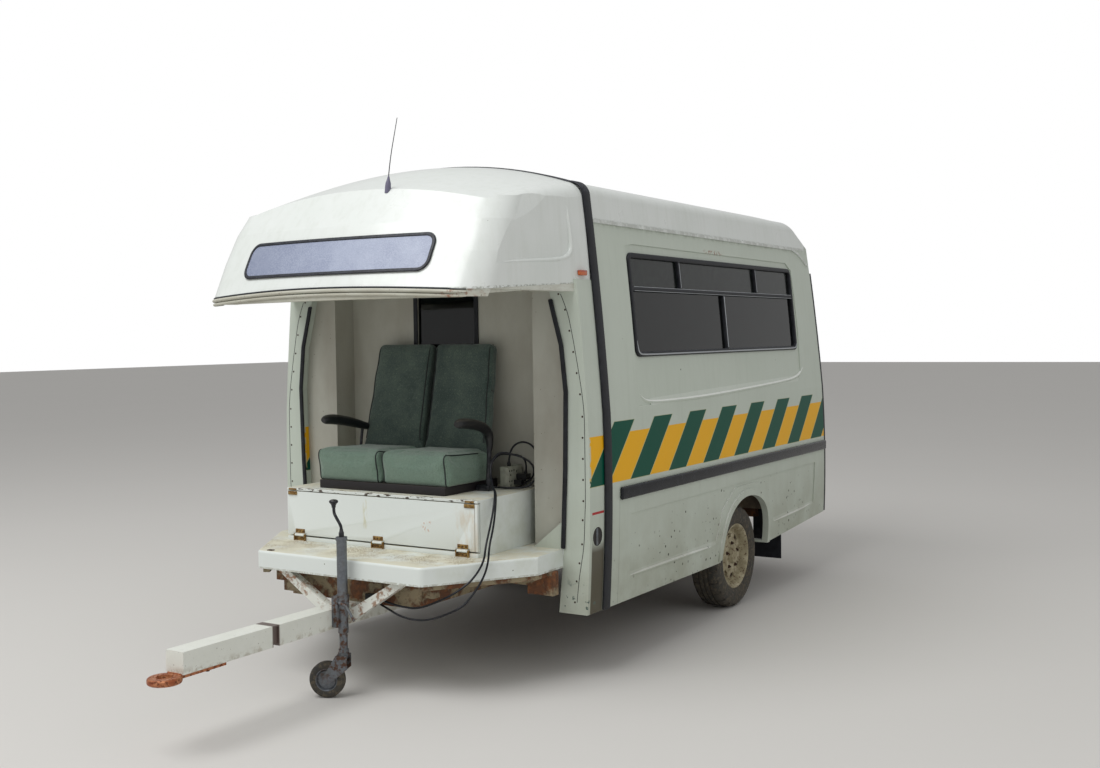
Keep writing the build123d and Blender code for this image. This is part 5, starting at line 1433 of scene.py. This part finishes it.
def make_jockey():
    """Jockey wheel: galvanised tube and leg, cranked handle with its knob, rubber-tyred wheel."""
    zinc = coat(galvanised)
    softened("jockey_tube", "jockey_tube_rounded", "body", zinc, 0.0018, 2)
    dress(zinc, "jockey_leg", "jockey_fork")
    x, y = 0.085, -0.930
    rod = pulled([seam(x, y, 0.768), seam(x, y, 0.790), seam(x - 0.003, y, 0.806), seam(x - 0.037, y, 0.850),
                  seam(x - 0.044, y, 0.868), seam(x - 0.044, y, 0.900)], 0.0072, sides=4, smooth=10)
    sleeve = spun([(0.0, 0.0125), (0.020, 0.0125), (0.024, 0.0105), (0.030, 0.0088), (0.036, 0.0086)],
                  seam(x, y, 0.752), (0, 0, 1), 24)
    keep(joined([rod, sleeve]), "crank_rod", "body", coat(painted_black),
         replaces=("crank_handle",))
    knob = spun([(0.0, 0.0095), (0.010, 0.0105), (0.018, 0.0145), (0.022, 0.0195), (0.026, 0.0215),
                 (0.030, 0.0212), (0.0345, 0.0180), (0.0375, 0.0110), (0.0385, 0.0)],
                seam(x - 0.044, y, 0.8865), (0, 0, 1), 28)
    phenolic = coat(moulded_plastic, "moulded_black_phenolic", "#15161C", 0.22)
    keep(knob, "crank_knob", "body", phenolic)
    trail = (-0.91, -0.4146)
    along = Vector((trail[1], -trail[0], 0)).normalized()
    middle = seam(x + trail[0] * 0.080, y + trail[1] * 0.080, 0.085)
    tyre = spun([(-0.022, 0.052), (-0.0245, 0.062), (-0.0245, 0.072), (-0.020, 0.0805), (-0.012, 0.0845),
                 (0.012, 0.0845), (0.020, 0.0805), (0.0245, 0.072), (0.0245, 0.062), (0.022, 0.052)],
                middle, along, 48)
    keep(tyre, "jockey_tyre", "jockey_wheel", coat(tyre_rubber), replaces=("jockey_wheel",))
    disc = spun([(-0.0235, 0.0085), (-0.0235, 0.018), (-0.018, 0.020), (-0.012, 0.024), (-0.011, 0.042),
                 (-0.018, 0.046), (-0.0225, 0.050), (-0.022, 0.054), (0.022, 0.054), (0.0225, 0.050),
                 (0.018, 0.046), (0.011, 0.042), (0.012, 0.024), (0.018, 0.020), (0.0235, 0.018),
                 (0.0235, 0.0085)], middle, along, 48)
    keep(disc, "jockey_disc", "jockey_wheel", coat(galvanised))


def make_wheels():
    """Road wheels: tyres with a cut tread, pressed steel rims with hand holes, hub caps and nuts."""
    steps = size("wheel_steps")
    mid, axle, height = WHEEL_X, AXLE_Y, AXLE_Z
    shoulder, groove, tread_cut = 0.296, 0.036, 0.005
    holes, hole_share, hole_low, hole_high = 8, 0.45, 0.108, 0.142
    nut_circle = 0.076
    half = [(0.0, 0.3045), (0.0035, 0.3045), (0.005, 0.3118), (0.026, 0.3118), (0.0275, 0.3045),
            (0.0345, 0.3045), (0.036, 0.3115), (0.058, 0.3100), (0.072, 0.3050), (0.084, 0.2920),
            (0.0905, 0.2720), (0.0922, 0.2500), (0.0905, 0.2440), (0.0915, 0.2400), (0.0900, 0.2200),
            (0.0840, 0.2030), (0.0780, 0.1950), (0.0740, 0.1880), (0.0720, 0.1805)]
    profile = [(-a, r) for a, r in reversed(half[1:])] + half
    tyre = spun(profile, seam(mid, axle, height), (1, 0, 0), steps)
    # blocks: one step in three of the shoulders is cut back
    alone(tyre)
    bpy.ops.object.mode_set(mode="EDIT")

    def cut(c, n):
        radius = hypot(c.y - SEAM - axle, c.z - height)
        turn = atan2(c.z - height, c.y - SEAM - axle) / (2 * pi) * steps
        return radius > shoulder and abs(c.x - mid) > groove and int(turn + 1000.5) % 3 == 0

    choose("FACE", cut)
    bpy.ops.mesh.extrude_region_shrink_fatten(TRANSFORM_OT_shrink_fatten={"value": -tread_cut})
    bpy.ops.object.mode_set(mode="OBJECT")
    other = copied(tyre, (-2 * mid, 0, 0))
    made = coat(tyre_rubber)
    keep(tyre, "tyre_tread_left", "wheel_left", made, 30, replaces=("tyre_left",))
    keep(other, "tyre_tread_right", "wheel_right", made, 30, replaces=("tyre_right",))
    wheel = spun([(-0.078, 0.1785), (-0.078, 0.1950), (-0.074, 0.1960), (-0.071, 0.1900), (-0.068, 0.1790),
                  (-0.030, 0.1770), (-0.020, 0.1640), (0.020, 0.1640), (0.030, 0.1770), (0.068, 0.1790),
                  (0.071, 0.1900), (0.075, 0.1965), (0.080, 0.1962), (0.0815, 0.1915), (0.077, 0.1840),
                  (0.060, 0.1735), (0.036, 0.1680), (0.030, 0.1620), (0.032, 0.1540), (0.040, 0.1420),
                  (0.044, 0.1330), (0.046, 0.1190), (0.045, 0.1080), (0.047, 0.0950), (0.052, 0.0880),
                  (0.053, 0.0640), (0.049, 0.0560), (0.050, 0.0480), (0.062, 0.0450), (0.074, 0.0400),
                  (0.078, 0.0280), (0.0795, 0.0)],
                 seam(mid, axle, height), (1, 0, 0), steps)
    alone(wheel)
    bpy.ops.object.mode_set(mode="EDIT")

    def hole(c, n):
        radius = hypot(c.y - SEAM - axle, c.z - height)
        turn = atan2(c.z - height, c.y - SEAM - axle) / (2 * pi) * steps + 1000 * steps + 0.5
        turn %= steps / holes
        return c.x - mid > 0.03 and hole_low < radius < hole_high and turn < steps / holes * hole_share

    choose("FACE", hole)
    bpy.ops.mesh.inset(thickness=0.003)
    bpy.ops.mesh.extrude_region_move(TRANSFORM_OT_translate={"value": (-0.012, 0, 0)})
    bpy.ops.object.mode_set(mode="OBJECT")
    enamel, dark = coat(wheel_paint), coat(screw_steel)
    nuts = []
    for number in range(5):
        turn = radians(90 + 72 * number)
        place = seam(mid + 0.0515, axle + nut_circle * cos(turn), height + nut_circle * sin(turn))
        nuts.append(spun([(0.0, 0.0115), (0.006, 0.0115), (0.0075, 0.0100), (0.0080, 0.0060),
                          (0.0150, 0.0058), (0.0165, 0.0)], place, (1, 0, 0), 6))
    nuts = joined(nuts)
    # a dark ring behind the hand holes, standing for the shade seen through them: painted shade
    dark_ring_shade = spun([(0.0325, 0.1400), (0.0335, 0.1380), (0.0335, 0.1120), (0.0325, 0.1100)],
                  seam(mid, axle, height), (1, 0, 0), steps)
    for piece, name, made in ((wheel, "wheel_disc", enamel), (nuts, "wheel_nuts", dark),
                              (dark_ring_shade, "hand_hole_floor", dark)):
        twin = copied(piece)
        twin.rotation_euler.z = pi
        twin.location = (0, 2 * (axle + SEAM), 0)
        settle(twin)
        nodes = ("rim_left",) if name == "wheel_disc" else ()
        keep(piece, name + "_left", "wheel_left", made, 30, replaces=nodes)
        nodes = ("rim_right",) if name == "wheel_disc" else ()
        keep(twin, name + "_right", "wheel_right", made, 30, replaces=nodes)


def leaned(obj):
    """Lean a piece drawn against an upright rear face on to the body's own rear face."""
    obj.matrix_world = Matrix.Translation(seam(0, REAR_Y, REAR_Z)) @ Matrix.Rotation(REAR_LEAN, 4, "X")
    return settle(obj)


def make_rear():
    """Rear doors: window rubbers, a handle, grab rail and a blank plate."""
    matt = seal_rubber()
    for side, body in ((1, "rear_door_left"), (-1, "rear_door_right")):
        gasket = opened(block((0.132, -0.006, 1.026), (0.658, 0.008, 1.652)), 1, 0.030)
        round_edges(gasket, 0.005, 3)
        if side < 0:
            gasket.location.x = -0.790
            settle(gasket)
        keep(leaned(gasket), body + "_gasket", body, matt)
    steel = coat(bright_metal)
    rose = spun([(0.0, 0.032), (0.006, 0.032), (0.009, 0.029), (0.010, 0.014), (0.026, 0.012), (0.028, 0.0)],
                (0.062, 0.0, 0.720), (0, 1, 0), 32)
    bar = pulled([(0.062, 0.022, 0.792), (0.062, 0.034, 0.780), (0.062, 0.038, 0.720), (0.062, 0.034, 0.660),
                  (0.062, 0.022, 0.648)], 0.0075, sides=4)
    keep(leaned(joined([rose, bar])), "rear_door_handle", "rear_door_left", steel)
    rail = pulled([(-0.090, -0.002, 0.560), (-0.090, 0.040, 0.566), (-0.090, 0.046, 0.620),
                   (-0.090, 0.046, 0.900), (-0.090, 0.040, 0.954), (-0.090, -0.002, 0.960)],
                  0.009, sides=4, smooth=10)
    keep(leaned(rail), "rear_grab_rail", "rear_door_right", coat(painted_black))
    plate = block((0.130, -0.001, 0.480), (0.650, 0.004, 0.591))
    keep(leaned(round_edges(plate, 0.0015, 2)), "blank_number_plate", "rear_door_left",
         coat(moulded_plastic, "blank_acrylic_plate", "#D8D6C6", 0.3))


# Add-on

class TRAILER_OT_camera(bpy.types.Operator):
    """Set the camera at the picture's view"""
    bl_idname = "trailer.camera"
    bl_label = "Camera"

    def execute(self, context):
        make_camera()
        return {"FINISHED"}


class TRAILER_OT_cables(bpy.types.Operator):
    """Lay the two cables and the socket's lead"""
    bl_idname = "trailer.cables"
    bl_label = "Cables"

    def execute(self, context):
        make_cables()
        return {"FINISHED"}


class TRAILER_OT_stage(bpy.types.Operator):
    """Make the floor, the background and the soft lights"""
    bl_idname = "trailer.stage"
    bl_label = "Stage"

    def execute(self, context):
        make_stage()
        return {"FINISHED"}


class TRAILER_OT_coachwork(bpy.types.Operator):
    """Finish the panels, cap, roof and lining"""
    bl_idname = "trailer.coachwork"
    bl_label = "Coachwork"

    def execute(self, context):
        make_coachwork()
        return {"FINISHED"}


class TRAILER_OT_trim(bpy.types.Operator):
    """Round and finish the rubber strips and rails"""
    bl_idname = "trailer.trim"
    bl_label = "Rubber trim"

    def execute(self, context):
        make_trim()
        return {"FINISHED"}


class TRAILER_OT_windows(bpy.types.Operator):
    """Finish the side windows and the hatch"""
    bl_idname = "trailer.windows"
    bl_label = "Windows"

    def execute(self, context):
        make_windows()
        return {"FINISHED"}


class TRAILER_OT_sign(bpy.types.Operator):
    """Finish the blank roof sign"""
    bl_idname = "trailer.sign"
    bl_label = "Sign"

    def execute(self, context):
        make_sign()
        return {"FINISHED"}


class TRAILER_OT_header(bpy.types.Operator):
    """Make the mouldings under the cap's rim"""
    bl_idname = "trailer.header"
    bl_label = "Header mouldings"

    def execute(self, context):
        make_header()
        return {"FINISHED"}


class TRAILER_OT_pillar_details(bpy.types.Operator):
    """Make the pillars' rivets, sealed joint and filler recess"""
    bl_idname = "trailer.pillar_details"
    bl_label = "Pillar details"

    def execute(self, context):
        make_pillar_details()
        return {"FINISHED"}


class TRAILER_OT_lamps(bpy.types.Operator):
    """Make the lamps and the aerial"""
    bl_idname = "trailer.lamps"
    bl_label = "Lamps and aerial"

    def execute(self, context):
        make_lamps()
        return {"FINISHED"}


class TRAILER_OT_platform(bpy.types.Operator):
    """Finish the platform and box, with hinges and catches"""
    bl_idname = "trailer.platform"
    bl_label = "Platform and box"

    def execute(self, context):
        make_platform()
        return {"FINISHED"}


class TRAILER_OT_seat(bpy.types.Operator):
    """Make the filled cushions and backs with their piping"""
    bl_idname = "trailer.seat"
    bl_label = "Seat"

    def execute(self, context):
        make_seat()
        return {"FINISHED"}


class TRAILER_OT_armrests(bpy.types.Operator):
    """Make the armrests and their posts"""
    bl_idname = "trailer.armrests"
    bl_label = "Armrests"

    def execute(self, context):
        make_armrests()
        return {"FINISHED"}


class TRAILER_OT_socket(bpy.types.Operator):
    """Make the socket box's plate and holes"""
    bl_idname = "trailer.socket"
    bl_label = "Socket box"

    def execute(self, context):
        make_socket()
        return {"FINISHED"}


class TRAILER_OT_frame(bpy.types.Operator):
    """Finish the frame, drawbar, eye and axle"""
    bl_idname = "trailer.frame"
    bl_label = "Frame"

    def execute(self, context):
        make_frame()
        return {"FINISHED"}


class TRAILER_OT_jockey(bpy.types.Operator):
    """Make the jockey wheel and its crank"""
    bl_idname = "trailer.jockey"
    bl_label = "Jockey wheel"

    def execute(self, context):
        make_jockey()
        return {"FINISHED"}


class TRAILER_OT_wheels(bpy.types.Operator):
    """Make the tyres, rims and nuts"""
    bl_idname = "trailer.wheels"
    bl_label = "Road wheels"

    def execute(self, context):
        make_wheels()
        return {"FINISHED"}


class TRAILER_OT_rear(bpy.types.Operator):
    """Make the rear doors' rubbers, handle, rail and plate"""
    bl_idname = "trailer.rear"
    bl_label = "Rear doors"

    def execute(self, context):
        make_rear()
        return {"FINISHED"}


OPERATORS = (TRAILER_OT_camera, TRAILER_OT_cables, TRAILER_OT_stage, TRAILER_OT_coachwork, TRAILER_OT_trim,
             TRAILER_OT_windows, TRAILER_OT_sign, TRAILER_OT_header, TRAILER_OT_pillar_details,
             TRAILER_OT_lamps,
             TRAILER_OT_platform, TRAILER_OT_seat, TRAILER_OT_armrests, TRAILER_OT_socket, TRAILER_OT_frame,
             TRAILER_OT_jockey, TRAILER_OT_wheels, TRAILER_OT_rear)


class TRAILER_PT_pieces(bpy.types.Panel):
    """Lists the pieces, their sizes and their colours"""
    bl_label = "Ambulance body trailer"
    bl_idname = "TRAILER_PT_pieces"
    bl_space_type = "VIEW_3D"
    bl_region_type = "UI"
    bl_category = "Trailer"

    def draw(self, context):
        for group in (context.scene.trailer_sizes, context.scene.trailer_colours):
            for name in group.__annotations__:
                self.layout.prop(group, name)
        for operator in OPERATORS:
            self.layout.operator(operator.bl_idname)


CLASSES = (TrailerColours, TrailerSizes, *OPERATORS, TRAILER_PT_pieces)


def register():
    for cls in CLASSES:
        bpy.utils.register_class(cls)
    bpy.types.Scene.trailer_colours = PointerProperty(type=TrailerColours)
    bpy.types.Scene.trailer_sizes = PointerProperty(type=TrailerSizes)


def unregister():
    del bpy.types.Scene.trailer_sizes
    del bpy.types.Scene.trailer_colours
    for cls in reversed(CLASSES):
        bpy.utils.unregister_class(cls)


def main():
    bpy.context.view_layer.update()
    register()
    for operator in OPERATORS:
        group, name = operator.bl_idname.split(".")
        getattr(getattr(bpy.ops, group), name)()
    bpy.context.scene.view_settings.view_transform = "Standard"


if __name__ == "__main__":
    main()
